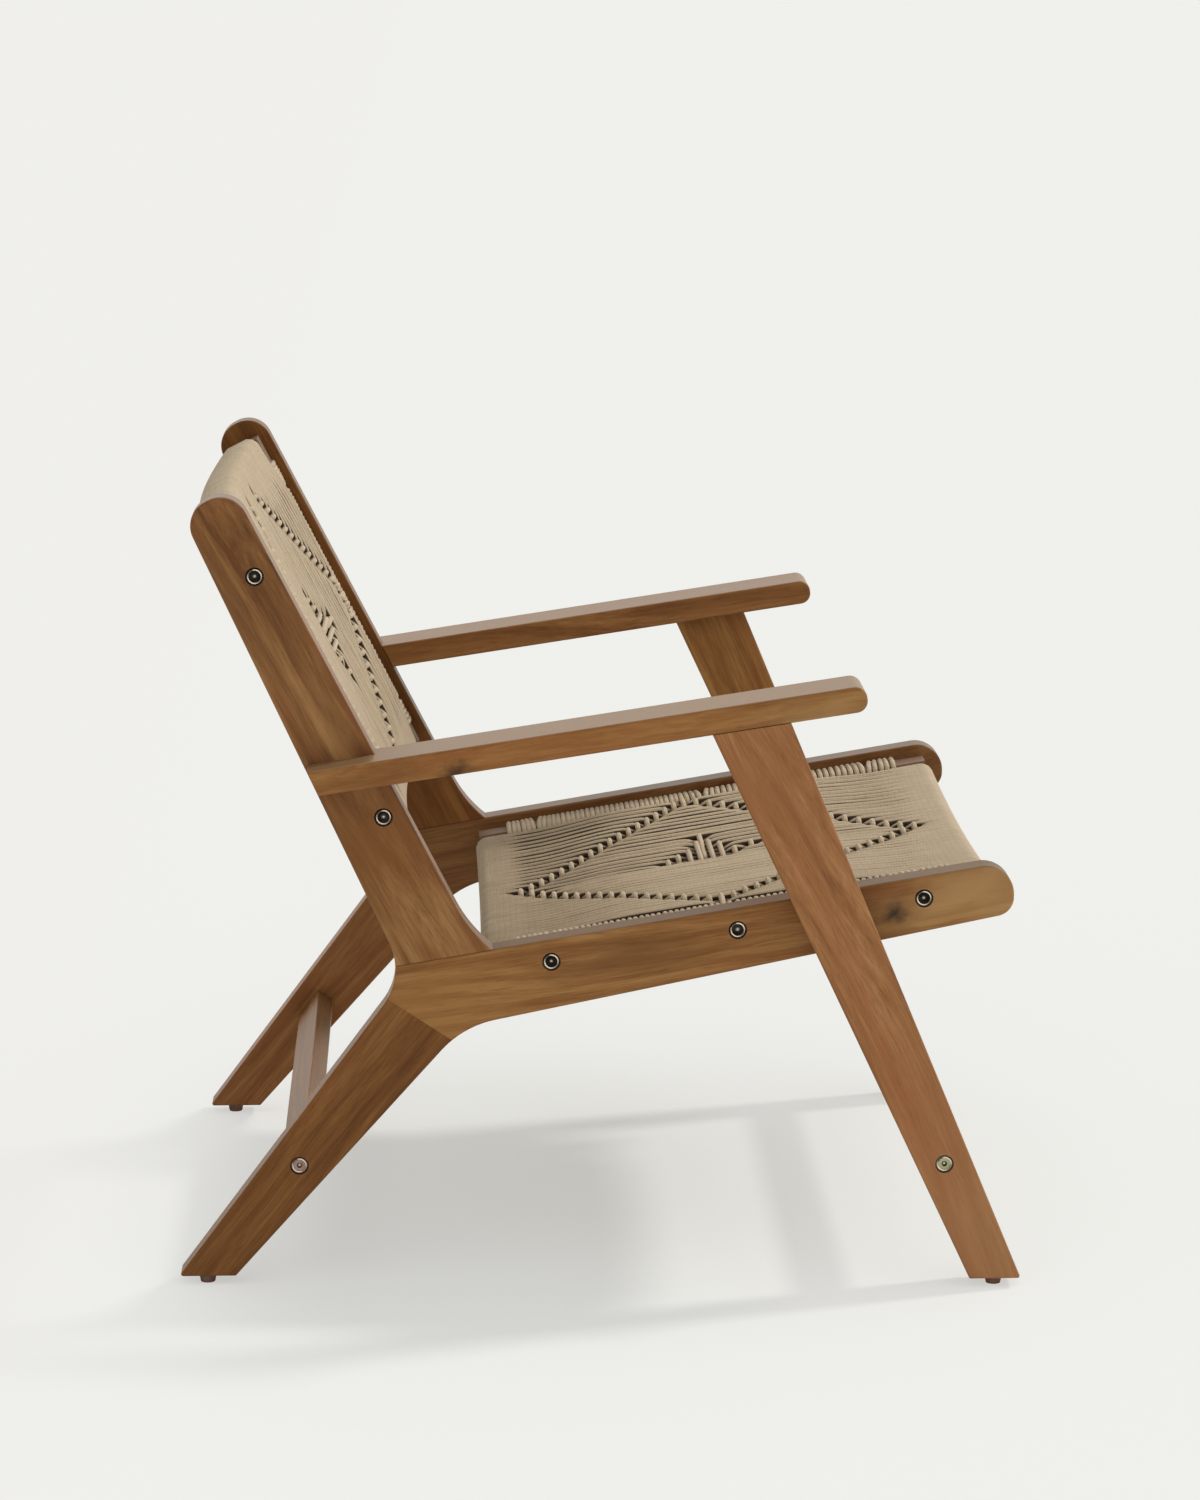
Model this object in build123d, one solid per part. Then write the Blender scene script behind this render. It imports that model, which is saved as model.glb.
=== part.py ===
from build123d import *
import os
from itertools import product
from math import atan2, copysign, cos, radians, sin, sqrt, tan

# All sizes are millimetres and degrees. The chair faces -Y and stands on z = 0, so the sitter's
# right is -X. Side views are drawn in (forward, up): forward is -Y, counted from the chair's middle.

# Overall sizes
OVERALL_WIDTH = 650.0
OVERALL_DEPTH = 750.0
OVERALL_HEIGHT = 711.0

# Board stock
BOARD_THICKNESS = 27.0
FRONT_LEG_THICKNESS = 33.0
ARM_THICKNESS = 23.0
EDGE_RADIUS = 2.0

# Seat rail: the seat corner is where the lines of its top edge and of the post's front edge cross
SEAT_CORNER_FORWARD = -105.5
SEAT_CORNER_HEIGHT = 305.0
SEAT_ANGLE = 9.4
RAIL_REACH = 473.5
RAIL_NOSE_HEIGHT = 47.5
RAIL_UNDERSIDE_ANGLE = 11.5
NOSE_TOP_RADIUS = 0.547 * RAIL_NOSE_HEIGHT
NOSE_BOTTOM_RADIUS = 0.358 * RAIL_NOSE_HEIGHT

# Back post
BACK_ANGLE = 62.9
POST_REAR_ANGLE = 65.3
POST_TOP_WIDTH = 50.0
POST_TOP_RADIUS = 0.48 * POST_TOP_WIDTH
FLARE_REACH = 11.0
FLARE_END_ANGLE = 40.0
FLARE_RADIUS = 122.0

# Rear leg and the fork where it meets the post and the rail
FORK_DROP = 10.7
FORK_RADIUS = 56.0
LEG_ROOT_LENGTH = 51.0
LEG_ROOT_RADIUS = 88.0
LEG_JOINT_DROP = 26.0
LEG_JOINT_ANGLE = 34.0
REAR_FOOT_LENGTH = 51.0

# Front leg
FRONT_FOOT_LENGTH = 46.0
FRONT_LEG_TOP_LENGTH = 68.5

# Armrest, whose underside height is taken at the chair's middle
ARM_ANGLE = 8.55
ARM_UNDERSIDE_HEIGHT = 490.0
ARM_NOSE_FORWARD = 234.0
ARM_NOSE_RADIUS = 0.455 * ARM_THICKNESS
ARM_OVERHANG = 68.0
ARM_REAR_SETBACK = 4.5

# Stretchers between the legs, broad side along the leg
STRETCHER_WIDTH = 35.0
STRETCHER_THICKNESS = 19.0
REAR_STRETCHER_HEIGHT = 110.0
FRONT_STRETCHER_HEIGHT = 115.0

# Woven panels: a bolted frame of four bars, with cord wound over the dished end bars
SIDE_BAR_WIDTH = 28.0
SIDE_BAR_THICKNESS = 19.0
END_BAR_WIDTH = 24.0
END_BAR_HEIGHT = 28.0
END_BAR_DISH = 10.0
END_BAR_ROUND = 7.0
SEAT_REAR_GAP = 2.5
SEAT_FRONT_GAP = 23.5
SEAT_BOLT_DEPTH = 20.0
SEAT_BOLTS = 3
SEAT_REAR_BOLT_SETBACK = 58.0
SEAT_FRONT_BOLT_SETBACK = 61.0
BACK_BOTTOM_GAP = 102.0
BACK_TOP_GAP = 19.5
BACK_BOLT_DEPTH = 19.5
BACK_BOLTS = 2
BACK_BOTTOM_BOLT_SETBACK = 45.0
BACK_TOP_BOLT_SETBACK = 58.0

# Cord
CORD_DIAMETER = 5.0
CORD_CLEARANCE = 0.3
WRAP_PAST_BOLT = 27.0

# Dowels, half of each in either piece
DOWEL_DIAMETER = 8.0
DOWEL_LENGTH = 32.0
PANEL_DOWEL_DIAMETER = 6.0
PANEL_DOWEL_SPACING = 12.0
DOWEL_CLEARANCE = 0.1
DOWEL_END_GAP = 0.5
POST_DOWEL_SPACING = 30.0
LEG_DOWEL_SPACING = 30.0
ARM_DOWEL_SPACING = 30.0
LAP_DOWEL_SPACING = 28.0

# Connector bolts and the threaded inserts that they go into
BOLT_DIAMETER = 6.0
BOLT_CLEARANCE = 0.4
HEAD_DIAMETER = 14.5
HEAD_HEIGHT = 3.0
HEAD_CHAMFER = 0.8
HEAD_RECESS = 1.0
HEAD_CLEARANCE = 1.0
SOCKET_FLATS = 5.0
SOCKET_DEPTH = 2.0
INSERT_DIAMETER = 10.0
INSERT_LENGTH = 15.0
INSERT_CLEARANCE = 0.1
THREAD_CLEARANCE = 0.1
BOLT_TIP_GAP = 2.0

# Foot glides, nailed under the legs
GLIDE_HEIGHT = 8.0
GLIDE_TOP_DIAMETER = 16.0
GLIDE_BOTTOM_DIAMETER = 13.0
NAIL_DIAMETER = 3.0
NAIL_LENGTH = 14.0
NAIL_CLEARANCE = 0.1

# Planes of the side frames, as distances from the chair's middle
LEG_OUTER = OVERALL_WIDTH / 2
BOARD_OUTER = LEG_OUTER - FRONT_LEG_THICKNESS
BOARD_INNER = BOARD_OUTER - BOARD_THICKNESS
SIDE_BAR_OUTER = BOARD_INNER - CORD_DIAMETER - 2 * CORD_CLEARANCE
SIDE_BAR_INNER = SIDE_BAR_OUTER - SIDE_BAR_WIDTH
SIDE = Plane(origin=(0, 0, 0), x_dir=(0, -1, 0), z_dir=(-1, 0, 0))
FAR = 3 * max(OVERALL_WIDTH, OVERALL_DEPTH, OVERALL_HEIGHT)
TOUCH = 0.01


def heading(angle):
    """Return the unit vector at an angle from forward, in the side view."""
    return Vector(cos(radians(angle)), sin(radians(angle)))


class Ray:
    """A straight edge in the side view: a point, a direction and, where it ends, a length."""

    def __init__(self, point, along, length=None):
        self.point = Vector(point)
        self.along = Vector(along).normalized()
        self.left = Vector(-self.along.Y, self.along.X)
        self.length = length

    def at(self, distance):
        return self.point + self.along * distance

    def at_height(self, height):
        return self.at((height - self.point.Y) / self.along.Y)

    def at_forward(self, forward):
        return self.at((forward - self.point.X) / self.along.X)

    def shifted(self, distance):
        return Ray(self.point + self.left * distance, self.along, self.length)

    def meet(self, other):
        across = self.along.X * other.along.Y - self.along.Y * other.along.X
        gap = other.point - self.point
        return self.at((gap.X * other.along.Y - gap.Y * other.along.X) / across)

    def holds(self, point):
        """Return whether a point of the side view lies on the edge."""
        gap = Vector(point.X, point.Y) - self.point
        within = self.length is None or 0 <= gap.dot(self.along) <= self.length
        return within and abs(gap.dot(self.left)) < TOUCH

    def left_side(self):
        """Return a large face that covers everything on the edge's left."""
        near = [self.at(-FAR), self.at(FAR)]
        far = [self.at(FAR) + self.left * FAR, self.at(-FAR) + self.left * FAR]
        return make_face(Polyline(*near, *far, close=True))


def between(start, end):
    """Return the edge from one point of the side view to another."""
    return Ray(start, end - start, (end - start).length)


def in_space(point, offset):
    """Return a side-view point as a point in space, on the sitter's right."""
    return Vector(-offset, -point.X, point.Y)


def turned(direction):
    """Return a side-view direction as a direction in space."""
    return Vector(0, -direction.X, direction.Y)


def foot_corner(reach, top):
    """Return the sharp foot corner that, once rounded, stands at a reach from the chair's middle."""
    flat = Vector(reach, GLIDE_HEIGHT)
    slope = atan2(top.Y - flat.Y, abs(top.X - flat.X))
    lost = EDGE_RADIUS * (1 / tan(slope / 2) - 1)
    return flat + Vector(copysign(lost, reach), 0)


# Construction edges of the side view

seat_corner = Vector(SEAT_CORNER_FORWARD, SEAT_CORNER_HEIGHT)
seat_edge = Ray(seat_corner, heading(SEAT_ANGLE))
post_front = Ray(seat_corner, heading(180 - BACK_ANGLE))
post_facing = -post_front.left

top_center = post_front.shifted(POST_TOP_RADIUS).at_height(OVERALL_HEIGHT - POST_TOP_RADIUS)
post_end_front = top_center + (post_facing + post_front.along) * POST_TOP_RADIUS
post_end_rear = post_end_front - post_facing * POST_TOP_WIDTH
post_rear = Ray(post_end_rear, heading(180 - POST_REAR_ANGLE))
post_length = (post_end_front - seat_corner).length

nose_forward = SEAT_CORNER_FORWARD + RAIL_REACH
nose_top = seat_edge.at_forward(nose_forward)
nose_bottom = nose_top - Vector(0, RAIL_NOSE_HEIGHT)
rail_length = (nose_top - seat_corner).length
underside = Ray(nose_bottom, heading(RAIL_UNDERSIDE_ANGLE))

flare_end = seat_edge.at(FLARE_REACH)
flare_corner = post_front.meet(Ray(flare_end, heading(180 - FLARE_END_ANGLE)))

post_joint = between(post_rear.meet(seat_edge), flare_end)

fork = post_rear.meet(Ray(seat_corner - Vector(0, FORK_DROP), seat_edge.along))
leg_root = underside.at_forward(fork.X + LEG_ROOT_LENGTH)
rear_foot_back = foot_corner(-OVERALL_DEPTH / 2, fork)
rear_foot_front = rear_foot_back + Vector(REAR_FOOT_LENGTH, 0)
leg_rear = between(rear_foot_back, fork)
leg_front = between(rear_foot_front, leg_root)
leg_joint = Ray(fork - leg_rear.along * LEG_JOINT_DROP, heading(-LEG_JOINT_ANGLE))

arm_under = Ray((0, ARM_UNDERSIDE_HEIGHT), heading(ARM_ANGLE))
arm_top = arm_under.shifted(ARM_THICKNESS)
arm_rear = Ray(post_rear.point + Vector(ARM_REAR_SETBACK, 0), post_rear.along)
arm_nose = Ray(arm_under.at_forward(ARM_NOSE_FORWARD), arm_under.left)

leg_top_front = arm_under.at_forward(ARM_NOSE_FORWARD - ARM_OVERHANG)
leg_top_rear = arm_under.at_forward(leg_top_front.X - FRONT_LEG_TOP_LENGTH)
front_foot_front = foot_corner(OVERALL_DEPTH / 2, leg_top_front)
front_foot_rear = front_foot_front - Vector(FRONT_FOOT_LENGTH, 0)
front_leg_front = between(front_foot_front, leg_top_front)
front_leg_rear = between(front_foot_rear, leg_top_rear)


def halfway(first, second, height):
    """Return the point midway between two edges at a height."""
    return (first.at_height(height) + second.at_height(height)) * 0.5


rear_stretcher_center = halfway(leg_rear, leg_front, REAR_STRETCHER_HEIGHT)
front_stretcher_center = halfway(front_leg_rear, front_leg_front, FRONT_STRETCHER_HEIGHT)


class Rod:
    """A round pin in space, centred on a point, that also gives the hole it sits in."""

    def __init__(self, point, axis, diameter, length):
        self.plane = Plane(origin=point, z_dir=axis)
        self.diameter = diameter
        self.length = length

    def solid(self):
        return self.plane * Cylinder(self.diameter / 2, self.length)

    def hole(self):
        radius = self.diameter / 2 + DOWEL_CLEARANCE
        return self.plane * Cylinder(radius, self.length + 2 * DOWEL_END_GAP)


def drilled(piece, rods):
    """Return a piece with the holes of its dowels cut out."""
    for rod in rods:
        piece -= rod.hole()
    return piece


def side_cylinder(point, start, end, diameter):
    """Return a cylinder across the chair, between two distances from its middle."""
    bar = Cylinder(diameter / 2, end - start, align=(Align.CENTER, Align.CENTER, Align.MIN))
    return SIDE.offset(start) * Pos(point.X, point.Y) * bar


def eased(board, joints, glued_face=None):
    """Return a board with rounded edges, apart from those along its glued joints and glued face."""

    def is_free(edge):
        middle = SIDE.to_local_coords(edge @ 0.5)
        crosswise = abs((edge % 0.5).X) > 0.5
        glued = glued_face is not None and abs(middle.Z - glued_face) < TOUCH
        return not (crosswise or glued or any(joint.holds(middle) for joint in joints))

    return fillet(board.edges().filter_by(is_free), EDGE_RADIUS)


def board(face, inner, thickness):
    """Return a side-view face as a board, starting at a distance from the chair's middle."""
    return extrude(SIDE.offset(inner) * face, thickness)


def bolt_hole(point, outer, inner):
    """Return the stepped hole of a connector bolt through a board."""
    seat = outer - HEAD_RECESS - HEAD_HEIGHT
    shank = side_cylinder(point, inner, outer, BOLT_DIAMETER + 2 * BOLT_CLEARANCE)
    return shank + side_cylinder(point, seat, outer, HEAD_DIAMETER + 2 * HEAD_CLEARANCE)


def bolt(point, outer, insert_face):
    """Return a flat-headed connector bolt with a hex socket, from a board's outside to its insert."""
    top = outer - HEAD_RECESS
    under = top - HEAD_HEIGHT
    tip = insert_face - INSERT_LENGTH + BOLT_TIP_GAP
    head = side_cylinder(point, under, top, HEAD_DIAMETER)
    rim = head.faces().sort_by(Axis.X)[0].edges()
    head = chamfer(rim, HEAD_CHAMFER)
    hexagon = RegularPolygon(SOCKET_FLATS / sqrt(3), 6)
    socket = SIDE.offset(top) * Pos(point.X, point.Y) * hexagon
    head -= extrude(socket, -SOCKET_DEPTH)
    return head + side_cylinder(point, tip, under, BOLT_DIAMETER)


def insert(point, face):
    """Return the threaded insert behind a bolt, let into a bar from its face."""
    body = side_cylinder(point, face - INSERT_LENGTH, face, INSERT_DIAMETER)
    return body - side_cylinder(point, face - INSERT_LENGTH, face, BOLT_DIAMETER + 2 * THREAD_CLEARANCE)


def insert_hole(point, face):
    """Return the blind hole that holds a threaded insert."""
    diameter = INSERT_DIAMETER + 2 * INSERT_CLEARANCE
    return side_cylinder(point, face - INSERT_LENGTH - DOWEL_END_GAP, face, diameter)


def mirrored(shape):
    """Return the sitter's left-hand copy of a right-hand piece."""
    return mirror(shape, about=Plane.YZ)


def group(shapes):
    """Return loose solids as one compound."""
    return Compound([solid for shape in shapes for solid in shape.solids()])


def both_sides(shapes):
    """Return right-hand solids and their left-hand copies as one compound."""
    return group(shapes + [mirrored(shape) for shape in shapes])


# Woven panels, in their own frame: x across the chair, y up the back or rearwards along the seat,
# z towards the sitter, with the line of the bolts at z = 0 and the bar frame centred on y = 0


class Panel:
    """A woven panel: four bars, the woven cord round the end bars and the wraps round the side bars."""

    def __init__(self, center, along, length, low_setback, high_setback, bolts):
        normal = Vector(1, 0, 0).cross(turned(along))
        self.plane = Plane(origin=in_space(center, 0), x_dir=(1, 0, 0), z_dir=normal)
        self.length = length
        self.half = length / 2
        low = low_setback - self.half
        high = self.half - high_setback
        self.bolt_places = [low + (high - low) * step / (bolts - 1) for step in range(bolts)]
        self.bolt_points = [center + along * place for place in self.bolt_places]
        self.dowels = [self.dowel(*signs) for signs in product((-1, 1), repeat=3)]

    def dowel(self, side, end, row):
        low = SIDE_BAR_THICKNESS / 2 - CORD_DIAMETER - END_BAR_HEIGHT
        shared_low = max(low, -SIDE_BAR_THICKNESS / 2)
        shared_high = SIDE_BAR_THICKNESS / 2 - CORD_DIAMETER
        place = end * (self.half - END_BAR_WIDTH / 2) + row * PANEL_DOWEL_SPACING / 2
        local = (side * SIDE_BAR_INNER, place, (shared_low + shared_high) / 2)
        return Rod(self.plane.from_local_coords(local), (1, 0, 0), PANEL_DOWEL_DIAMETER, DOWEL_LENGTH)

    def dished(self, half_width, top, bottom, depth):
        """Return a bar along y whose top and bottom sag between two heights at its ends."""
        middle_top = top - END_BAR_DISH
        middle_bottom = bottom - END_BAR_DISH
        upper = ThreePointArc((-half_width, top), (0, middle_top), (half_width, top))
        lower = ThreePointArc((half_width, bottom), (0, middle_bottom), (-half_width, bottom))
        right = Line((half_width, top), (half_width, bottom))
        left = Line((-half_width, bottom), (-half_width, top))
        face = make_face(upper + right + lower + left)
        return extrude(Plane.XZ * face, depth / 2, both=True)

    def rounded(self, bar, radius):
        """Return a dished bar with its four long edges rounded."""
        return fillet(bar.edges().filter_by(GeomType.CIRCLE), radius)

    def end_bar(self, end):
        top = SIDE_BAR_THICKNESS / 2 - CORD_DIAMETER
        bar = self.dished(SIDE_BAR_INNER, top, top - END_BAR_HEIGHT, END_BAR_WIDTH)
        bar = self.rounded(bar, END_BAR_ROUND)
        place = end * (self.half - END_BAR_WIDTH / 2)
        return drilled(self.plane * Pos(0, place, 0) * bar, self.dowels)

    def side_bar(self):
        middle = -(SIDE_BAR_INNER + SIDE_BAR_OUTER) / 2
        bar = Box(SIDE_BAR_WIDTH, self.length, SIDE_BAR_THICKNESS)
        bar = fillet(bar.edges().filter_by(Axis.Y), EDGE_RADIUS)
        bar = drilled(self.plane * Pos(middle, 0, 0) * bar, self.dowels)
        for point in self.bolt_points:
            bar -= insert_hole(point, SIDE_BAR_OUTER)
        return bar

    def cord_stretches(self):
        """Return the cord round the end bars: woven face, return run behind it, low and high turns."""
        half_width = SIDE_BAR_INNER - CORD_CLEARANCE
        top = SIDE_BAR_THICKNESS / 2 - CORD_DIAMETER + CORD_CLEARANCE
        bottom = top - END_BAR_HEIGHT - 2 * CORD_CLEARANCE
        inner_length = self.length + 2 * CORD_CLEARANCE
        inner = self.dished(half_width, top, bottom, inner_length)
        inner = self.rounded(inner, END_BAR_ROUND + CORD_CLEARANCE)
        outer_top = top + CORD_DIAMETER
        outer_bottom = bottom - CORD_DIAMETER
        outer = self.dished(half_width, outer_top, outer_bottom, inner_length + 2 * CORD_DIAMETER)
        outer = self.rounded(outer, END_BAR_ROUND + CORD_CLEARANCE + CORD_DIAMETER)
        sleeve = outer - inner
        span = Box(2 * SIDE_BAR_INNER, self.length - END_BAR_WIDTH, FAR)
        run, face = (sleeve & span).solids().sort_by(Axis.Z)
        low_turn, high_turn = (sleeve - span).solids().sort_by(Axis.Y)
        return [self.plane * piece for piece in (face, run, low_turn, high_turn)]

    def cord_wraps(self):
        """Return the wraps round the right side bar, as one channel open towards the weave."""
        wide = SIDE_BAR_WIDTH + CORD_CLEARANCE
        high = SIDE_BAR_THICKNESS + 2 * CORD_CLEARANCE
        run = self.bolt_places[-1] - self.bolt_places[0] + 2 * WRAP_PAST_BOLT
        right_edge = (Align.MAX, Align.CENTER, Align.CENTER)
        outer = Box(wide + CORD_DIAMETER, run, high + 2 * CORD_DIAMETER, align=right_edge)
        outer = fillet(outer.edges().filter_by(Axis.Y).group_by(Axis.X)[0], CORD_DIAMETER)
        channel = outer - Box(wide, run, high, align=right_edge)
        middle = (self.bolt_places[0] + self.bolt_places[-1]) / 2
        wraps = self.plane * Pos(-SIDE_BAR_INNER, middle, 0) * channel
        bore = BOLT_DIAMETER + 2 * BOLT_CLEARANCE
        for point in self.bolt_points:
            wraps -= side_cylinder(point, SIDE_BAR_OUTER, BOARD_INNER, bore)
        return wraps


seat_panel_length = rail_length - SEAT_REAR_GAP - SEAT_FRONT_GAP
seat_bolt_edge = seat_edge.shifted(-SEAT_BOLT_DEPTH)
seat_panel = Panel(
    seat_bolt_edge.at(SEAT_REAR_GAP + seat_panel_length / 2),
    -seat_edge.along,
    seat_panel_length,
    SEAT_FRONT_BOLT_SETBACK,
    SEAT_REAR_BOLT_SETBACK,
    SEAT_BOLTS,
)
back_panel_length = post_length - BACK_BOTTOM_GAP - BACK_TOP_GAP
back_bolt_edge = post_front.shifted(BACK_BOLT_DEPTH)
back_panel = Panel(
    back_bolt_edge.at(BACK_BOTTOM_GAP + back_panel_length / 2),
    post_front.along,
    back_panel_length,
    BACK_BOTTOM_BOLT_SETBACK,
    BACK_TOP_BOLT_SETBACK,
    BACK_BOLTS,
)

# Dowels of the right side frame


def pair(center, along, spacing, axis):
    """Return two dowels side by side on a joint."""
    step = along * (spacing / 2)
    return [Rod(point, axis, DOWEL_DIAMETER, DOWEL_LENGTH) for point in (center - step, center + step)]


board_middle = (BOARD_INNER + BOARD_OUTER) / 2
leg_middle = (BOARD_OUTER + LEG_OUTER) / 2
post_foot = (post_rear.meet(seat_edge) + seat_corner) * 0.5
post_dowels = pair(
    in_space(post_foot, board_middle),
    turned(seat_edge.along),
    POST_DOWEL_SPACING,
    turned(seat_edge.left),
)
leg_head = (leg_joint.point + leg_front.meet(leg_joint)) * 0.5
leg_dowels = pair(
    in_space(leg_head, board_middle),
    turned(leg_joint.along),
    LEG_DOWEL_SPACING,
    turned(leg_joint.left),
)
leg_top = (leg_top_front + leg_top_rear) * 0.5
arm_leg_dowels = pair(
    in_space(leg_top, leg_middle),
    turned(arm_under.along),
    ARM_DOWEL_SPACING,
    turned(arm_under.left),
)
arm_core = arm_under.shifted(ARM_THICKNESS / 2)
arm_lap = (arm_core.meet(arm_rear) + arm_core.meet(post_front)) * 0.5
arm_post_dowels = pair(
    in_space(arm_lap, BOARD_OUTER),
    turned(arm_under.along),
    ARM_DOWEL_SPACING,
    (1, 0, 0),
)
rail_core = Ray((seat_corner + leg_root) * 0.5, nose_top + nose_bottom - seat_corner - leg_root)
leg_core = Ray(leg_top, front_foot_front + front_foot_rear - leg_top_front - leg_top_rear)
leg_lap = rail_core.meet(leg_core)
front_leg_dowels = pair(
    in_space(leg_lap, BOARD_OUTER),
    turned(rail_core.along),
    LAP_DOWEL_SPACING,
    (1, 0, 0),
)

# Side frame boards: one outline, sawn along the two glued joints


def side_boards():
    """Return the back post, the seat rail and the rear leg of the right side."""
    corners = [
        (post_end_front, POST_TOP_RADIUS),
        (flare_corner, FLARE_RADIUS),
        (flare_end, 0),
        (nose_top, NOSE_TOP_RADIUS),
        (nose_bottom, NOSE_BOTTOM_RADIUS),
        (leg_root, LEG_ROOT_RADIUS),
        (rear_foot_front, EDGE_RADIUS),
        (rear_foot_back, EDGE_RADIUS),
        (fork, FORK_RADIUS),
        (post_end_rear, POST_TOP_RADIUS),
    ]
    points = [point for point, radius in corners]
    outline = FilletPolyline(*points, radius=[radius for point, radius in corners], close=True)
    whole = make_face(outline)
    above_seat = seat_edge.left_side()
    above_leg = leg_joint.left_side()
    lower = whole - above_seat
    post = eased(board(whole & above_seat, BOARD_INNER, BOARD_THICKNESS), [post_joint])
    rail = eased(board(lower & above_leg, BOARD_INNER, BOARD_THICKNESS), [leg_joint, post_joint])
    leg = eased(board(lower - above_leg, BOARD_INNER, BOARD_THICKNESS), [leg_joint])
    return post, rail, leg


def front_leg():
    """Return the right front leg, lapped on the rail and cut to the arm's slope."""
    corners = [
        (front_foot_front, EDGE_RADIUS),
        (leg_top_front, 0),
        (leg_top_rear, 0),
        (front_foot_rear, EDGE_RADIUS),
    ]
    points = [point for point, radius in corners]
    outline = FilletPolyline(*points, radius=[radius for point, radius in corners], close=True)
    return eased(board(make_face(outline), BOARD_OUTER, FRONT_LEG_THICKNESS), [arm_under])


def arm_outline(rear_edge):
    """Return the arm's side view, ending at an edge of the post."""
    corners = [
        (arm_nose.meet(arm_under), ARM_NOSE_RADIUS),
        (arm_nose.meet(arm_top), ARM_NOSE_RADIUS),
        (rear_edge.meet(arm_top), 0),
        (rear_edge.meet(arm_under), 0),
    ]
    points = [point for point, radius in corners]
    return make_face(FilletPolyline(*points, radius=[radius for point, radius in corners], close=True))


def armrest():
    """Return the right arm: its outer part laps the post, its inner part stops at the post's front."""
    outer = board(arm_outline(arm_rear), BOARD_OUTER, FRONT_LEG_THICKNESS)
    inner = board(arm_outline(post_front), BOARD_INNER, BOARD_THICKNESS)
    return eased(outer + inner, [post_front, arm_rear], BOARD_OUTER)


def stretcher(center, along, reach):
    """Return a bar between two legs, with inserts let into its ends by the caller."""
    section = Rectangle(STRETCHER_WIDTH, STRETCHER_THICKNESS)
    section = fillet(section.vertices(), EDGE_RADIUS)
    place = Plane(origin=in_space(center, 0), x_dir=turned(along), z_dir=(1, 0, 0))
    bar = extrude(place * section, reach, both=True)
    bar -= insert_hole(center, reach)
    return bar - mirrored(insert_hole(center, reach))


def nail_point(back, front, offset):
    """Return the middle of a foot's underside."""
    return in_space((back + front) * 0.5, offset)


def nail_hole(point):
    """Return the hole for a glide's nail."""
    radius = NAIL_DIAMETER / 2 + NAIL_CLEARANCE
    up = (Align.CENTER, Align.CENTER, Align.MIN)
    return Pos(point) * Cylinder(radius, NAIL_LENGTH + DOWEL_END_GAP, align=up)


def foot_glide(point):
    """Return a tapered glide with its nail."""
    body = Cone(GLIDE_BOTTOM_DIAMETER / 2, GLIDE_TOP_DIAMETER / 2, GLIDE_HEIGHT)
    up = (Align.CENTER, Align.CENTER, Align.MIN)
    nail = Cylinder(NAIL_DIAMETER / 2, NAIL_LENGTH, align=up)
    return Pos(point.X, point.Y, GLIDE_HEIGHT / 2) * body + Pos(point) * nail


# Right-hand pieces

post, rail, rear_leg = side_boards()
post = drilled(post, post_dowels + arm_post_dowels)
for point in back_panel.bolt_points:
    post -= bolt_hole(point, BOARD_OUTER, BOARD_INNER)
rail = drilled(rail, post_dowels + leg_dowels + front_leg_dowels)
for point in seat_panel.bolt_points:
    rail -= bolt_hole(point, BOARD_OUTER, BOARD_INNER)
rear_nail = nail_point(rear_foot_back, rear_foot_front, board_middle)
rear_leg = drilled(rear_leg, leg_dowels) - nail_hole(rear_nail)
rear_leg -= bolt_hole(rear_stretcher_center, BOARD_OUTER, BOARD_INNER)
front_nail = nail_point(front_foot_rear, front_foot_front, leg_middle)
leg = drilled(front_leg(), arm_leg_dowels + front_leg_dowels) - nail_hole(front_nail)
leg -= bolt_hole(front_stretcher_center, LEG_OUTER, BOARD_OUTER)
arm = drilled(armrest(), arm_leg_dowels + arm_post_dowels)

right_pieces = {
    "back_post": post,
    "seat_rail": rail,
    "rear_leg": rear_leg,
    "front_leg": leg,
    "armrest": arm,
    "rear_foot_glide": foot_glide(rear_nail),
    "front_foot_glide": foot_glide(front_nail),
    "seat_side_bar": seat_panel.side_bar(),
    "back_side_bar": back_panel.side_bar(),
    "seat_cord_wraps": seat_panel.cord_wraps(),
    "back_cord_wraps": back_panel.cord_wraps(),
}

# Pieces across the chair, and groups of like fasteners

nodes = {
    "rear_stretcher": stretcher(rear_stretcher_center, leg_rear.along, BOARD_INNER),
    "front_stretcher": stretcher(front_stretcher_center, front_leg_rear.along, BOARD_OUTER),
    "seat_front_bar": seat_panel.end_bar(-1),
    "seat_rear_bar": seat_panel.end_bar(1),
    "back_bottom_bar": back_panel.end_bar(-1),
    "back_top_bar": back_panel.end_bar(1),
    "seat_frame_dowels": group([rod.solid() for rod in seat_panel.dowels]),
    "back_frame_dowels": group([rod.solid() for rod in back_panel.dowels]),
    "post_dowels": both_sides([rod.solid() for rod in post_dowels]),
    "rear_leg_dowels": both_sides([rod.solid() for rod in leg_dowels]),
    "front_leg_dowels": both_sides([rod.solid() for rod in front_leg_dowels]),
    "arm_leg_dowels": both_sides([rod.solid() for rod in arm_leg_dowels]),
    "arm_post_dowels": both_sides([rod.solid() for rod in arm_post_dowels]),
}
bolted = {
    "seat": (seat_panel.bolt_points, BOARD_OUTER, SIDE_BAR_OUTER),
    "back": (back_panel.bolt_points, BOARD_OUTER, SIDE_BAR_OUTER),
    "rear_stretcher": ([rear_stretcher_center], BOARD_OUTER, BOARD_INNER),
    "front_stretcher": ([front_stretcher_center], LEG_OUTER, BOARD_OUTER),
}
for name, (points, outer, face) in bolted.items():
    nodes[name + "_bolts"] = both_sides([bolt(point, outer, face) for point in points])
    nodes[name + "_inserts"] = both_sides([insert(point, face) for point in points])
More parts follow.
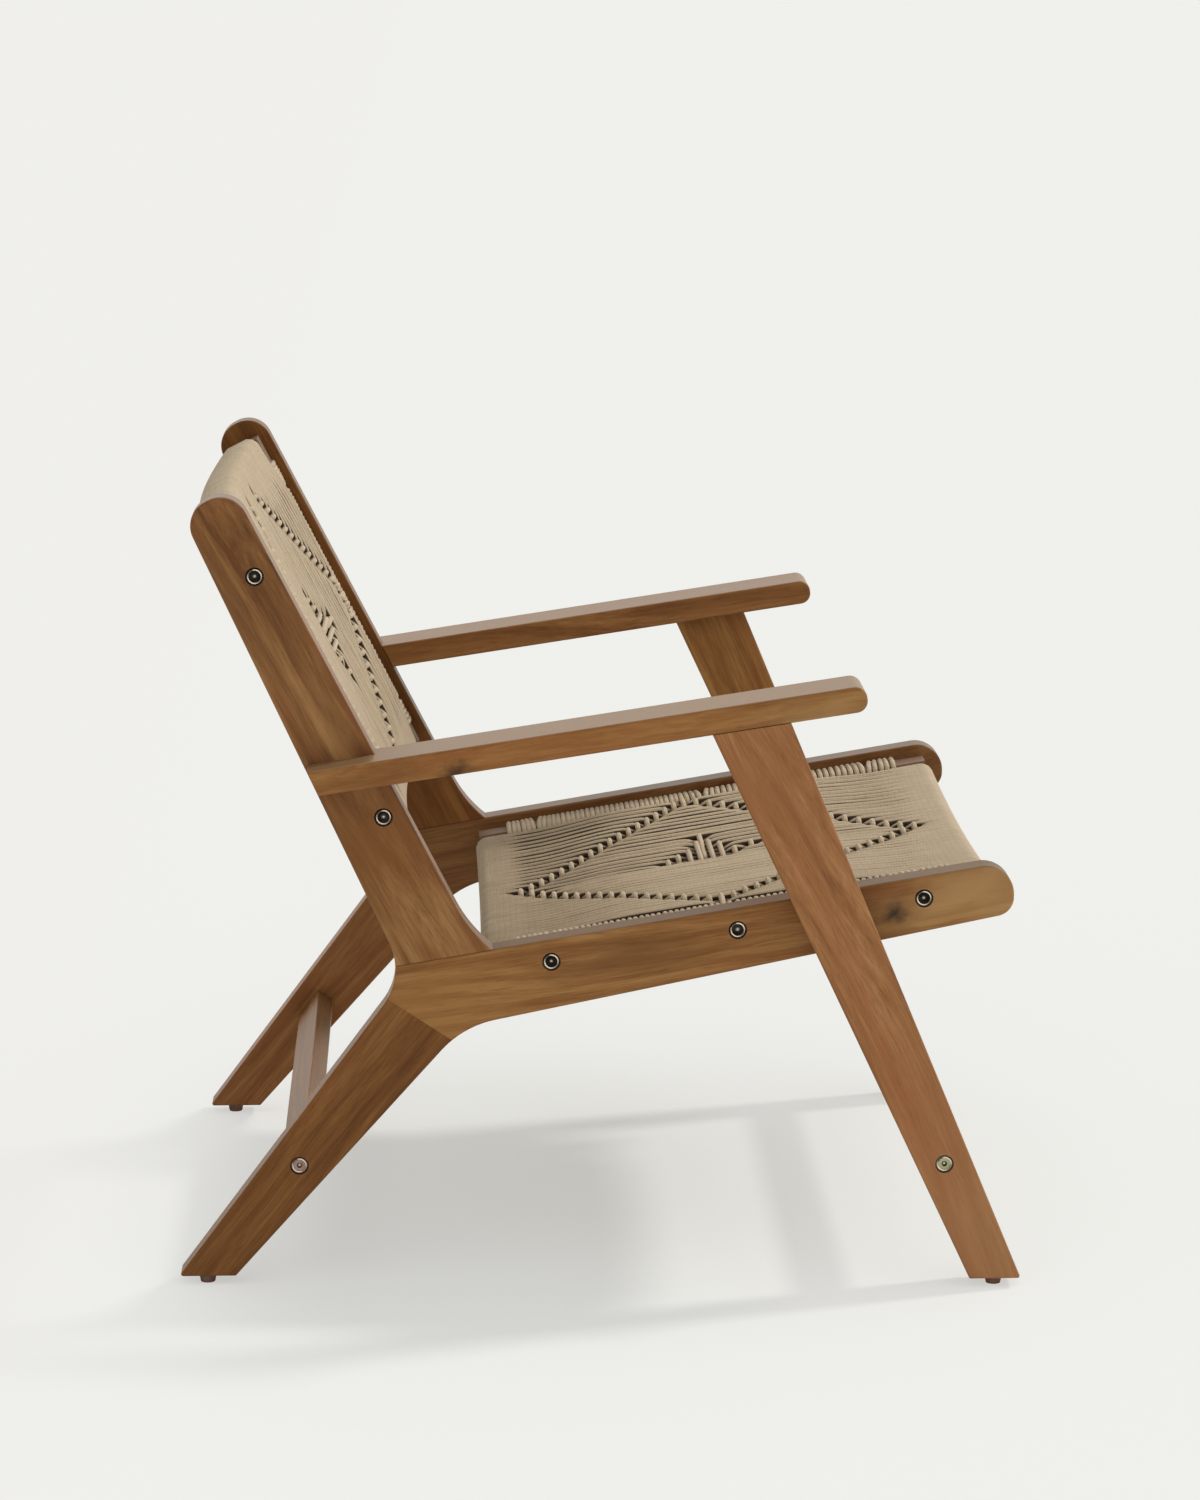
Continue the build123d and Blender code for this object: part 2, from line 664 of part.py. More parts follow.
cord_names = {
    seat_panel: ("seat_weave", "seat_return_cords", "seat_front_turns", "seat_rear_turns"),
    back_panel: ("back_weave", "back_return_cords", "back_bottom_turns", "back_top_turns"),
}
for panel, names in cord_names.items():
    nodes.update(zip(names, panel.cord_stretches()))
for name, piece in right_pieces.items():
    nodes["right_" + name] = piece
    nodes["left_" + name] = mirrored(piece)

os.makedirs("parts", exist_ok=True)
for name, shape in nodes.items():
    export_step(shape, f"parts/{name}.step")
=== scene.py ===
"""Low wooden armchair with a seat and a back of woven cord, in a plain pale studio."""

import logging
import math
import random
from dataclasses import dataclass, field
from enum import Enum

import bmesh
import bpy
from mathutils import Matrix, Vector, noise


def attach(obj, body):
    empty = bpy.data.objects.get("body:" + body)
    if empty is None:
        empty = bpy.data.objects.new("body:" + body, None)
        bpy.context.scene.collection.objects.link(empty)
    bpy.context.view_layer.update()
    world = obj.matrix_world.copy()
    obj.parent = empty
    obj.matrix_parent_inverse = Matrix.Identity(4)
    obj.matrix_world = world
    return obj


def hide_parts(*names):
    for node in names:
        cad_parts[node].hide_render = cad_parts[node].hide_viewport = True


Socket = bpy.types.NodeSocket
Triple = tuple[float, float, float]
Colour = Triple

LOG = logging.getLogger("armchair")
MM = 0.001
BODY = "root"

# The heart of the woven diamond: for each row, its offset along the panel in millimetres and the
# first and last bundle that its weft floats over.
HEART: dict[int, tuple[float, int, int]] = {
    4: (36.0, 0, 0),
    3: (25.5, 1, 1),
    2: (14.5, 0, 2),
    1: (4.8, 0, 4),
    0: (0.0, 1, 6),
    -1: (-6.8, 0, 4),
    -2: (-16.5, 0, 3),
    -3: (-29.0, 1, 1),
    -4: (-46.0, 2, 2),
}

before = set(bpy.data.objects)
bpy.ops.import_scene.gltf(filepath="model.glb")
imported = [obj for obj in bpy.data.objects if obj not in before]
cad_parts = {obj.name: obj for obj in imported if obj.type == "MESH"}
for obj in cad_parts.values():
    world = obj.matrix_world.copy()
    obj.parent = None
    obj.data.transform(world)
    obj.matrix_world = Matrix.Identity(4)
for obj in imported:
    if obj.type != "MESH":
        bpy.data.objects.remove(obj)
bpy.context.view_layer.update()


def rgba(colour: Colour) -> tuple[float, float, float, float]:
    """Return a linear colour with full opacity."""
    return (*colour, 1.0)


def tinted(colour: Colour, tint: Colour, level: float = 1.0) -> Colour:
    """Return a colour with its red, green and blue scaled by a tint and by a level."""
    return tuple(level * part * share for part, share in zip(colour, tint))


def eased(value: float, start: float, width: float) -> float:
    """Return 0 before a start, 1 a width further on and an eased value between them."""
    share = min(1.0, max(0.0, (value - start) / width))
    return share * share * (3.0 - 2.0 * share)


def put(name: str, data: bpy.types.ID) -> bpy.types.Object:
    """Add an object to the scene.

    Args:
        name: Its name.
        data: Its mesh, curve, light or camera.

    Returns:
        The object.
    """
    thing = bpy.data.objects.new(name, data)
    bpy.context.scene.collection.objects.link(thing)
    return thing


def settle(mesh: bpy.types.Mesh, nodes: list[str], finishes: list[bpy.types.Material]) -> None:
    """Put a finished mesh on the chair in place of CAD nodes, under the mesh's own name.

    Args:
        mesh: The mesh, placed in the chair's frame.
        nodes: The CAD nodes that it stands for.
        finishes: Its materials.
    """
    for finish in finishes:
        mesh.materials.append(finish)
    piece = put(mesh.name, mesh)
    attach(piece, BODY)
    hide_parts(*nodes)
    LOG.info("%s: %d faces", piece.name, len(mesh.polygons))


class Shader:
    """The nodes of a material or of the world."""

    def __init__(self, owner: bpy.types.Material | bpy.types.World) -> None:
        """Turn on the nodes of a new material or world.

        Args:
            owner: The material or the world.
        """
        owner.use_nodes = True
        self.owner = owner
        self.tree = owner.node_tree

    def feed(self, socket: Socket, value: object) -> None:
        """Link a socket to an output, or set its value.

        Args:
            socket: The input to fill.
            value: An output socket, or a plain value.
        """
        if isinstance(value, Socket):
            self.tree.links.new(value, socket)
        else:
            socket.default_value = value

    def add(self, kind: str, sockets: dict | None = None, **settings: object) -> bpy.types.Node:
        """Add a node.

        Args:
            kind: The node's type.
            sockets: Its inputs by name or place, each with a value or an output.
            **settings: Its properties.

        Returns:
            The new node.
        """
        node = self.tree.nodes.new(kind)
        for key, value in settings.items():
            setattr(node, key, value)
        for key, value in (sockets or {}).items():
            self.feed(node.inputs[key], value)
        return node

    def finish(self, **sockets: object) -> bpy.types.Material:
        """Fill the surface's inputs.

        Args:
            **sockets: Values or outputs by input name, with underscores for spaces.

        Returns:
            The finished material.
        """
        surface = self.tree.nodes["Principled BSDF"]
        for key, value in sockets.items():
            self.feed(surface.inputs[key.replace("_", " ")], value)
        return self.owner

    def place(self) -> Socket:
        """Return the surface's own place in the chair's frame."""
        return self.add("ShaderNodeTexCoord").outputs["Object"]

    def attribute(self, name: str) -> Socket:
        """Return a number that the mesh keeps for each of its points."""
        return self.add("ShaderNodeAttribute", attribute_name=name).outputs["Fac"]

    def mapped(self, vector: Socket, **changes: Triple) -> Socket:
        """Return coordinates with a Location, Rotation or Scale of their own."""
        return self.add("ShaderNodeMapping", {"Vector": vector, **changes}).outputs[0]

    def noise(self, vector: Socket, scale: float, detail: float, rough: float = 0.5) -> Socket:
        """Return a soft random field from 0 to 1, with so many features in a metre."""
        inputs = {"Vector": vector, "Scale": scale, "Detail": detail, "Roughness": rough}
        return self.add("ShaderNodeTexNoise", inputs).outputs[0]

    def drawn(self, vector: Socket, share: float, *layer: float) -> Socket:
        """Return noise that changes along the second axis at a share of its pace across that."""
        return self.noise(self.mapped(vector, Scale=(1.0, share, 1.0)), *layer)

    def math(self, operation: str, *values: object) -> Socket:
        """Return a plain function of numbers, by Blender's name for it."""
        return self.add("ShaderNodeMath", dict(enumerate(values)), operation=operation).outputs[0]

    def weigh(self, value: Socket, share: float, rest: object) -> Socket:
        """Return a share of a value, added to the rest."""
        return self.math("MULTIPLY_ADD", value, share, rest)

    def vector(self, operation: str, *values: object) -> Socket:
        """Return a function of vectors: a number for a length or a dot product, else a vector."""
        node = self.add("ShaderNodeVectorMath", dict(enumerate(values)), operation=operation)
        return node.outputs["Value" if operation in ("LENGTH", "DOT_PRODUCT") else "Vector"]

    def remap(self, value: Socket, low: float, high: float, start: object, end: object) -> Socket:
        """Return a value moved smoothly from the range low to high to the range start to end."""
        sockets = {0: value, 1: low, 2: high, 3: start, 4: end}
        return self.add("ShaderNodeMapRange", sockets, interpolation_type="SMOOTHSTEP").outputs[0]

    def ramp(self, value: Socket, *stops: tuple[float, Colour]) -> Socket:
        """Return a colour picked along a scale.

        Args:
            value: The place on the scale.
            *stops: Places and linear colours, in order.

        Returns:
            The colour.
        """
        node = self.add("ShaderNodeValToRGB", {0: value})
        elements = node.color_ramp.elements
        while len(elements) < len(stops):
            elements.new(1.0)
        for element, (place, colour) in zip(elements, stops):
            element.position = place
            element.color = rgba(colour)
        return node.outputs[0]

    def blend(self, amount: Socket, first: Socket, second: Colour) -> Socket:
        """Return a mix of two colours, with the amount of the second."""
        sockets = {0: amount, 6: first, 7: rgba(second)}
        return self.add("ShaderNodeMix", sockets, data_type="RGBA").outputs[2]

    def bump(self, height: Socket, depth: float, strength: float) -> Socket:
        """Return normals for a relief from 0 to 1 with a depth in metres."""
        inputs = {"Strength": strength, "Distance": depth, "Height": height}
        return self.add("ShaderNodeBump", inputs).outputs[0]


class Grain(Enum):
    """Which way a piece's grain runs: degrees above forward in the side view, or across the chair."""

    BACK = 117.1
    SEAT = 9.4
    REAR_LEG = 52.0
    FRONT_LEG = 114.3
    ARM = 8.55
    ACROSS = None

    def turn(self) -> Triple:
        """Return the turn that lays the grain along the pattern's second axis."""
        across = (0.0, 0.0, math.pi / 2)
        return across if self is Grain.ACROSS else (math.radians(self.value), 0.0, 0.0)


class Tone(Enum):
    """Colours of a board: its darkest streaks, most of it and its palest streaks."""

    DEEP = ((0.115, 0.042, 0.011), (0.195, 0.082, 0.022), (0.31, 0.15, 0.046))
    # The left back post's, left seat rail's and left rear leg's tones are painted shade and painted light:
    # darker and paler copies for how light falls on those boards, the rail's being the leg's painted darker
    # as shade on its inner face.
    SHADED = ((0.085, 0.028, 0.006), (0.138, 0.049, 0.0108), (0.205, 0.083, 0.02))
    SHADED_RAIL = ((0.103, 0.039, 0.012), (0.161, 0.067, 0.021), (0.223, 0.108, 0.038))
    BROWN = ((0.105, 0.035, 0.01), (0.165, 0.064, 0.017), (0.25, 0.11, 0.033))
    GOLDEN = ((0.165, 0.064, 0.017), (0.265, 0.116, 0.034), (0.385, 0.2, 0.067))
    WARM = ((0.2, 0.077, 0.028), (0.308, 0.132, 0.049), (0.412, 0.203, 0.084))
    FAR = ((0.15, 0.056, 0.017), (0.23, 0.095, 0.029), (0.31, 0.15, 0.053))
    RAIL = ((0.142, 0.053, 0.0155), (0.232, 0.099, 0.0295), (0.34, 0.172, 0.058))
    POST = ((0.108, 0.042, 0.014), (0.205, 0.088, 0.029), (0.33, 0.168, 0.062))
    LIT = ((0.145, 0.052, 0.0168), (0.227, 0.091, 0.029), (0.314, 0.145, 0.052))
    DULL = ((0.1, 0.05, 0.026), (0.155, 0.086, 0.05), (0.22, 0.135, 0.085))
    PLAIN = ((0.36, 0.22, 0.11), (0.5, 0.34, 0.19), (0.62, 0.46, 0.3))


# Layers of a board's figure: how fast each changes along the grain, as a share of that across it,
# how many features it has in a metre across the grain, its detail and how rough that is.
SWAY = (0.16, 9.0, 2.0)
ZONES = (0.14, 30.0, 3.0, 0.55)
STREAKS = (0.05, 105.0, 5.0, 0.68)
FIBRES = (0.035, 420.0, 3.0, 0.7)
WARMTH = (0.09, 26.0, 3.0)
PORES = (0.07, 800.0, 1.0)

# Tints of the wood's colours: of its reddish zones, its pores, the painted sheen that makes its upper faces
# paler and greyish, and its gloss.
REDDISH = (1.02, 0.8, 0.8)
PORE_DARK = (0.5, 0.5, 0.5)
PAINTED_SHEEN_TINT = (0.66, 1.0, 1.95)
OIL_GLOSS = (0.85, 0.52, 0.32)


@dataclass(frozen=True)
class Patch:
    """A soft-edged place in a board with a tone of its own.

    Attributes:
        place: Its middle in the chair's frame, in metres.
        across: How far it reaches across the grain, in metres.
        along: How far it reaches along the grain, in metres.
        colour: Its colour.
        strength: How strongly it shows, from 0 to 1.
        ragged: How uneven its edge is, from 0 to 1.
    """

    place: Triple
    across: float
    along: float
    colour: Colour
    strength: float
    ragged: float = 0.6

    def field(self, shader: Shader, place: Socket, turn: Triple) -> Socket:
        """Return the patch as a field from 0 outside it to its strength in the middle.

        Args:
            shader: The material.
            place: The surface's place.
            turn: The turn that lays the grain along the second axis.

        Returns:
            The field.
        """
        offset = shader.mapped(shader.vector("SUBTRACT", place, self.place), Rotation=turn)
        scaled = shader.mapped(offset, Scale=(1.0 / self.across, 1.0 / self.along, 1.0 / self.across))
        edge = shader.noise(scaled, 1.7, 3.0, 0.6)
        gap = shader.weigh(edge, 2.0 * self.ragged, shader.vector("LENGTH", scaled))
        return shader.remap(gap, self.ragged, 1.0 + self.ragged, self.strength, 0.0)


@dataclass(frozen=True)
class OiledWood:
    """Brown hardwood with an oiled satin finish.

    Attributes:
        seed: Moves the pattern, so that no two boards are alike.
        broad: How strongly broad zones of colour show.
        painted_sheen: How far upper faces are painted paler and greyish, as a painted reflection, from 0 to
            1.
        upper: How bright that painted sheen is.
        sheen: How much of the gloss upper faces keep.
        patches: Knots and other places with a tone of their own.
        heart: Place of the tree's middle beside the board, in metres, across the grain.
        sway: How far the figure bends across the grain, in metres.
        rings: How strongly growth rings show, and streaks and fibres how strongly those do.
        contrast: How far from its mean the figure has the darkest and the palest colour.
        warmth: How strongly reddish zones show.
        pores: How dark the pores are.
        relief: Depth of the surface's relief in metres.
        gloss: How strongly it reflects.
        facing: Direction of the faces that are upper ones and take the painted sheen, tipped towards the
            front.
        turning: How well a face has to agree with that, from not at all upper to fully so.
    """

    name: str
    grain: Grain
    tone: Tone
    seed: float = 0.0
    broad: float = 0.24
    painted_sheen: float = 0.7
    upper: float = 1.0
    sheen: float = 1.0
    patches: tuple[Patch, ...] = ()
    heart: tuple[float, float] = (0.08, 0.05)
    sway: float = 0.09
    rings: float = 0.07
    streaks: float = 0.3
    fibres: float = 0.32
    contrast: float = 0.12
    warmth: float = 0.5
    pores: float = 0.28
    relief: float = 0.0003
    gloss: float = 0.45
    facing: Triple = (0.0, -0.35, 0.94)
    turning: tuple[float, float] = (0.4, 0.95)

    def figure(self, shader: Shader, turned: Socket) -> Socket:
        """Return the board's figure: growth rings, broad zones, streaks and fibres.

        Args:
            shader: The material.
            turned: Coordinates with the grain along the second axis.

        Returns:
            The figure, with a mean of about one half.
        """
        bend = shader.math("MULTIPLY", shader.drawn(turned, *SWAY), self.sway)
        push = shader.add("ShaderNodeCombineXYZ", {0: bend, 2: bend}).outputs[0]
        bent = shader.vector("ADD", turned, push)
        log = shader.mapped(bent, Scale=(1.0, 0.04, 1.0), Location=(self.heart[0], 0.0, self.heart[1]))
        wave = {"Vector": log, "Scale": 17.0, "Distortion": 3.5, "Detail": 3.0, "Detail Scale": 1.3}
        rings = shader.add("ShaderNodeTexWave", wave, wave_type="RINGS", rings_direction="Y").outputs[1]
        total = 0.5 - 0.5 * (self.rings + self.broad + self.streaks + self.fibres)
        total = shader.weigh(rings, self.rings, total)
        for layer, share in ((ZONES, self.broad), (STREAKS, self.streaks), (FIBRES, self.fibres)):
            total = shader.weigh(shader.drawn(bent, *layer), share, total)
        return total

    def material(self) -> bpy.types.Material:
        """Make the finish's nodes.

        Returns:
            The finish as a material.
        """
        shader = Shader(bpy.data.materials.new(self.name))
        dark, middle, pale = self.tone.value
        place = shader.place()
        turn = self.grain.turn()
        turned = shader.mapped(place, Rotation=turn)
        turned = shader.mapped(turned, Location=(self.seed, 3.7 * self.seed, 1.9 * self.seed))
        figure = self.figure(shader, turned)
        stops = ((0.5 - self.contrast, dark), (0.5, middle), (0.5 + self.contrast, pale))
        colour = shader.ramp(figure, *stops)
        warm = shader.remap(shader.drawn(turned, *WARMTH), 0.5, 0.75, 0.0, self.warmth)
        colour = shader.blend(warm, colour, tinted(middle, REDDISH))
        pores = shader.remap(shader.drawn(turned, *PORES), 0.58, 0.75, 0.0, 1.0)
        shade = shader.math("MULTIPLY", pores, self.pores)
        colour = shader.blend(shade, colour, tinted(dark, PORE_DARK))
        for patch in self.patches:
            colour = shader.blend(patch.field(shader, place, turn), colour, patch.colour)
        normal = shader.add("ShaderNodeTexCoord").outputs["Normal"]
        # Painted sheen: upper faces, tipped towards the front, are painted paler and greyish as a painted
        # reflection of the pale room.
        upward = shader.vector("DOT_PRODUCT", normal, self.facing)
        painted_share = shader.remap(upward, *self.turning, 0.0, self.painted_sheen)
        painted_sheen_colour = tinted(middle, PAINTED_SHEEN_TINT, self.upper)
        relief = shader.math("SUBTRACT", figure, shader.math("MULTIPLY", pores, 0.5))
        return shader.finish(
            Base_Color=shader.blend(painted_share, colour, painted_sheen_colour),
            Roughness=shader.weigh(figure, 0.25, 0.33),
            Normal=shader.bump(relief, self.relief, 0.3),
            Specular_IOR_Level=shader.remap(upward, *self.turning, self.gloss, self.gloss * self.sheen),
            Specular_Tint=rgba(OIL_GLOSS),
        )


@dataclass(frozen=True)
class TwistedCord:
    """Matt beige cord of many fine strands.

    Attributes:
        pale: Colour of the crowns.
        dark: Colour between the strands.
        deep: Tint of that for the painted shade where the cord lies deep or between bundles.
        lay: Length in which a strand goes once round, in metres.
        strands: How many strands show round the cord.
        rib: Distance between the crossing cords that press through, in metres.
        shares: How strongly hairs, strands, blotches, the cord's tone with its painted shade and those ribs
            show.
        relief: Depth of the surface's relief in metres.
    """

    name: str
    pale: Colour
    dark: Colour
    deep: Colour = (0.14, 0.12, 0.08)
    lay: float = 0.011
    strands: int = 4
    rib: float = 0.0055
    shares: tuple[float, ...] = (0.34, 0.32, 0.26, 0.3, 0.012)
    relief: float = 0.0005

    def material(self) -> bpy.types.Material:
        """Make the finish's nodes.

        Returns:
            The finish as a material.
        """
        shader = Shader(bpy.data.materials.new(self.name))
        place = shader.place()
        around = shader.add("ShaderNodeUVMap", uv_map="UVMap").outputs[0]
        around = shader.add("ShaderNodeSeparateXYZ", {0: around}).outputs[1]
        along = shader.attribute("run")
        ribs = shader.math("SINE", shader.math("MULTIPLY", along, 2.0 * math.pi / self.rib))
        along = shader.math("MULTIPLY", along, 2.0 * math.pi * self.strands / self.lay)
        around = shader.math("MULTIPLY", around, 2.0 * math.pi * self.strands)
        left = shader.math("SINE", shader.math("ADD", along, around))
        right = shader.math("SINE", shader.math("SUBTRACT", along, around))
        braid = shader.weigh(shader.math("MULTIPLY", left, right), 0.5, 0.5)
        fuzz = shader.noise(place, 1500.0, 3.0, 0.7)
        blotch = shader.noise(place, 60.0, 3.0)
        level = 0.0
        # The tone attribute holds each cord's own tone less the painted shade of its grooves, dips, flanks
        # and deep places.
        for part, share in zip((fuzz, braid, blotch, shader.attribute("tone"), ribs), self.shares):
            level = shader.weigh(part, share, level)
        deep = tinted(self.dark, self.deep)
        relief = shader.weigh(ribs, 0.12, shader.weigh(fuzz, 0.4, braid))
        return shader.finish(
            Base_Color=shader.ramp(level, (0.0, deep), (0.24, self.dark), (0.85, self.pale)),
            Roughness=0.88,
            Normal=shader.bump(relief, self.relief, 0.7),
            Specular_IOR_Level=0.2,
            Sheen_Weight=0.15,
            Sheen_Roughness=0.6,
        )


@dataclass(frozen=True)
class PlatedMetal:
    """Plated metal with faint handling marks, and on bolts a painted highlight and a painted dark
    reflection.

    Attributes:
        colour: Colour of the plating.
        worn: Colour where it has rubbed.
        rough: How blurred its reflections are.
        metallic: How much of it shines as bare metal does.
        blind: How far it turns to its shadow colour where the piece's painted glint is low, as a painted
            dark reflection.
    """

    name: str
    colour: Colour
    worn: Colour
    rough: float
    metallic: float = 1.0
    blind: float = 0.0
    shadow: Colour = (0.03, 0.02, 0.015)

    def material(self) -> bpy.types.Material:
        """Make the finish's nodes.

        Returns:
            The finish as a material.
        """
        shader = Shader(bpy.data.materials.new(self.name))
        place = shader.place()
        scratches = shader.noise(shader.mapped(place, Scale=(1.0, 1.0, 0.05)), 3000.0, 2.0)
        colour = shader.ramp(shader.noise(place, 95.0, 3.0), (0.35, self.colour), (0.75, self.worn))
        # Painted reflection: where the bolt's painted glint is low, the colour turns towards the shadow
        # colour.
        lost = shader.remap(shader.attribute("glint"), 0.0, 1.0, self.blind, 0.0)
        return shader.finish(
            Base_Color=shader.blend(lost, colour, self.shadow),
            Metallic=self.metallic,
            Roughness=shader.weigh(scratches, 0.2, self.rough - 0.1),
            Normal=shader.bump(scratches, 0.00002, 0.3),
        )


@dataclass(frozen=True)
class MouldedPlastic:
    """Matt brown plastic with a fine moulded texture."""

    name: str
    colour: Colour

    def material(self) -> bpy.types.Material:
        """Make the finish's nodes.

        Returns:
            The finish as a material.
        """
        shader = Shader(bpy.data.materials.new(self.name))
        place = shader.place()
        dust = shader.noise(place, 90.0, 3.0)
        dusty = tuple(min(1.0, 1.35 * part + 0.03) for part in self.colour)
        return shader.finish(
            Base_Color=shader.ramp(dust, (0.4, self.colour), (0.75, dusty)),
            Roughness=shader.weigh(dust, 0.2, 0.45),
            Normal=shader.bump(shader.noise(place, 2600.0, 2.0), 0.00008, 0.5),
        )


@dataclass(frozen=True)
class PaleFloor:
    """Pale studio floor that keeps the chair's shadow, with a painted glow for the camera that lightens it,
    least under the seat and most behind the chair.

    Attributes:
        colour: Colour of the backdrop.
        tint: Tint of the floor against that, cooler as a painted offset of the warm light that the chair
            bounces onto it.
        inner: How much of the backdrop's own glow shows through the shadow under the seat.
        outer: How much of it shows round that.
        rear: How much of it shows behind the chair.
        shift: Shift of the place under the seat, after scaling.
        scale: How much smaller than a metre that place is, on each axis.
        edge: Where its soft edge begins and ends.
        behind: Where the floor behind the chair begins and is reached, in metres.
    """

    name: str
    colour: Colour
    tint: Colour = (0.97, 1.0, 1.006)
    inner: float = 0.42
    outer: float = 0.61
    rear: float = 0.93
    shift: Triple = (0.15, -0.5, 0.0)
    scale: Triple = (1.9, 3.9, 1.0)
    edge: tuple[float, float] = (0.7, 1.5)
    behind: tuple[float, float] = (0.2, 0.62)

    def material(self) -> bpy.types.Material:
        """Make the finish's nodes.

        Returns:
            The finish as a material.
        """
        shader = Shader(bpy.data.materials.new(self.name))
        place = shader.place()
        levels = ((0.3, 0.997), (0.7, 1.0))
        stops = [(spot, tinted(self.colour, self.tint, level)) for spot, level in levels]
        colour = shader.ramp(shader.noise(place, 30.0, 2.0), *stops)
        floor = shader.finish(Base_Color=colour, Roughness=1.0, Specular_IOR_Level=0.0)
        matt = shader.tree.nodes["Principled BSDF"].outputs[0]
        # Painted light: the camera sees a glow of the backdrop's colour mixed over the lit floor, its share
        # set by place, so that the shadow shows faint round and behind the chair.
        glow = shader.add("ShaderNodeEmission", {"Color": rgba(self.colour)}).outputs[0]
        gap = shader.vector("LENGTH", shader.mapped(place, Location=self.shift, Scale=self.scale))
        share = shader.remap(gap, *self.edge, self.inner, self.outer)
        depth = shader.add("ShaderNodeSeparateXYZ", {0: place}).outputs[1]
        behind = shader.remap(depth, *self.behind, 0.0, 1.0)
        spare = shader.math("MULTIPLY", shader.math("SUBTRACT", self.rear, share), behind)
        seen = shader.add("ShaderNodeLightPath").outputs["Is Camera Ray"]
        share = shader.math("MULTIPLY", shader.math("ADD", share, spare), seen)
        mix = shader.add("ShaderNodeMixShader", {0: share, 1: matt, 2: glow})
        shader.feed(shader.tree.nodes["Material Output"].inputs["Surface"], mix.outputs[0])
        return floor


@dataclass
class CordRun:
    """One length of cord.

    Attributes:
        points: The line it follows, in the chair's frame, in metres.
        closed: Whether it comes back to its start.
        tones: How pale it is at each point, from 0 to 1, less the painted shade where it lies deep, which
            takes it below 0.
        flanks: How much painted shade darkens it at each point on its right and left sides.
        crest: How far the surface faces across the chair where a flank begins.
        slope: How much further it turns until the flank is reached.
    """

    points: list[Vector]
    closed: bool
    tones: list[float]
    flanks: list[tuple[float, float]]
    crest: float = 0.4
    slope: float = 0.45

    def __post_init__(self) -> None:
        """Measure how far along the cord each point is."""
        self.distances = [0.0]
        for start, end in zip(self.points, self.points[1:]):
            self.distances.append(self.distances[-1] + (end - start).length)

    def tone(self, point: int, lean: float) -> float:
        """Return how pale the cord is at a point, with its painted shade, on a side that faces so far
        across the chair.
        """
        depth = self.flanks[point][int(lean > 0.0)]
        return self.tones[point] - depth * eased(abs(lean), self.crest, self.slope)


@dataclass
class CordWork:
    """Cords that are made into one mesh.

    Attributes:
        radius: The cord's radius in metres.
        runs: The cords.
        sides: How many sides the cord has.
    """

    radius: float
    runs: list[CordRun]
    sides: int = 8

    def tubes(self, name: str) -> bpy.types.Mesh:
        """Return the cords as plain round tubes.

        Args:
            name: The mesh's name.

        Returns:
            The mesh.
        """
        curve = bpy.data.curves.new(name, "CURVE")
        curve.dimensions = "3D"
        curve.bevel_depth = self.radius
        curve.bevel_resolution = (self.sides - 4) // 2
        curve.use_fill_caps = True
        for run in self.runs:
            spline = curve.splines.new("POLY")
            spline.points.add(len(run.points) - 1)
            for point, place in zip(spline.points, run.points):
                point.co = (*place, 1.0)
            spline.use_cyclic_u = run.closed
        carrier = put(name, curve)
        graph = bpy.context.evaluated_depsgraph_get()
        mesh = bpy.data.meshes.new_from_object(carrier.evaluated_get(graph))
        bpy.data.objects.remove(carrier)
        bpy.data.curves.remove(curve)
        mesh.name = name
        return mesh

    def mesh(self, name: str) -> bpy.types.Mesh:
        """Return the cords as tubes that know their tone, painted shade included, and how far along each
        point is.

        Args:
            name: The mesh's name.

        Returns:
            The mesh, whose vertices lie in rings, those of the end caps first.
        """
        mesh = self.tubes(name)
        rings = [(run, end) for run in reversed(self.runs) if not run.closed for end in (-1, 0)]
        rings += [(run, point) for run in self.runs for point in range(len(run.points))]
        along = []
        tones = []
        for ring, (run, point) in enumerate(rings):
            for vertex in mesh.vertices[ring * self.sides : (ring + 1) * self.sides]:
                along.append(run.distances[point])
                tones.append(run.tone(point, (vertex.co.x - run.points[point].x) / self.radius))
        for attribute, values in (("run", along), ("tone", tones)):
            mesh.attributes.new(attribute, "FLOAT", "POINT").data.foreach_set("value", values)
        return mesh


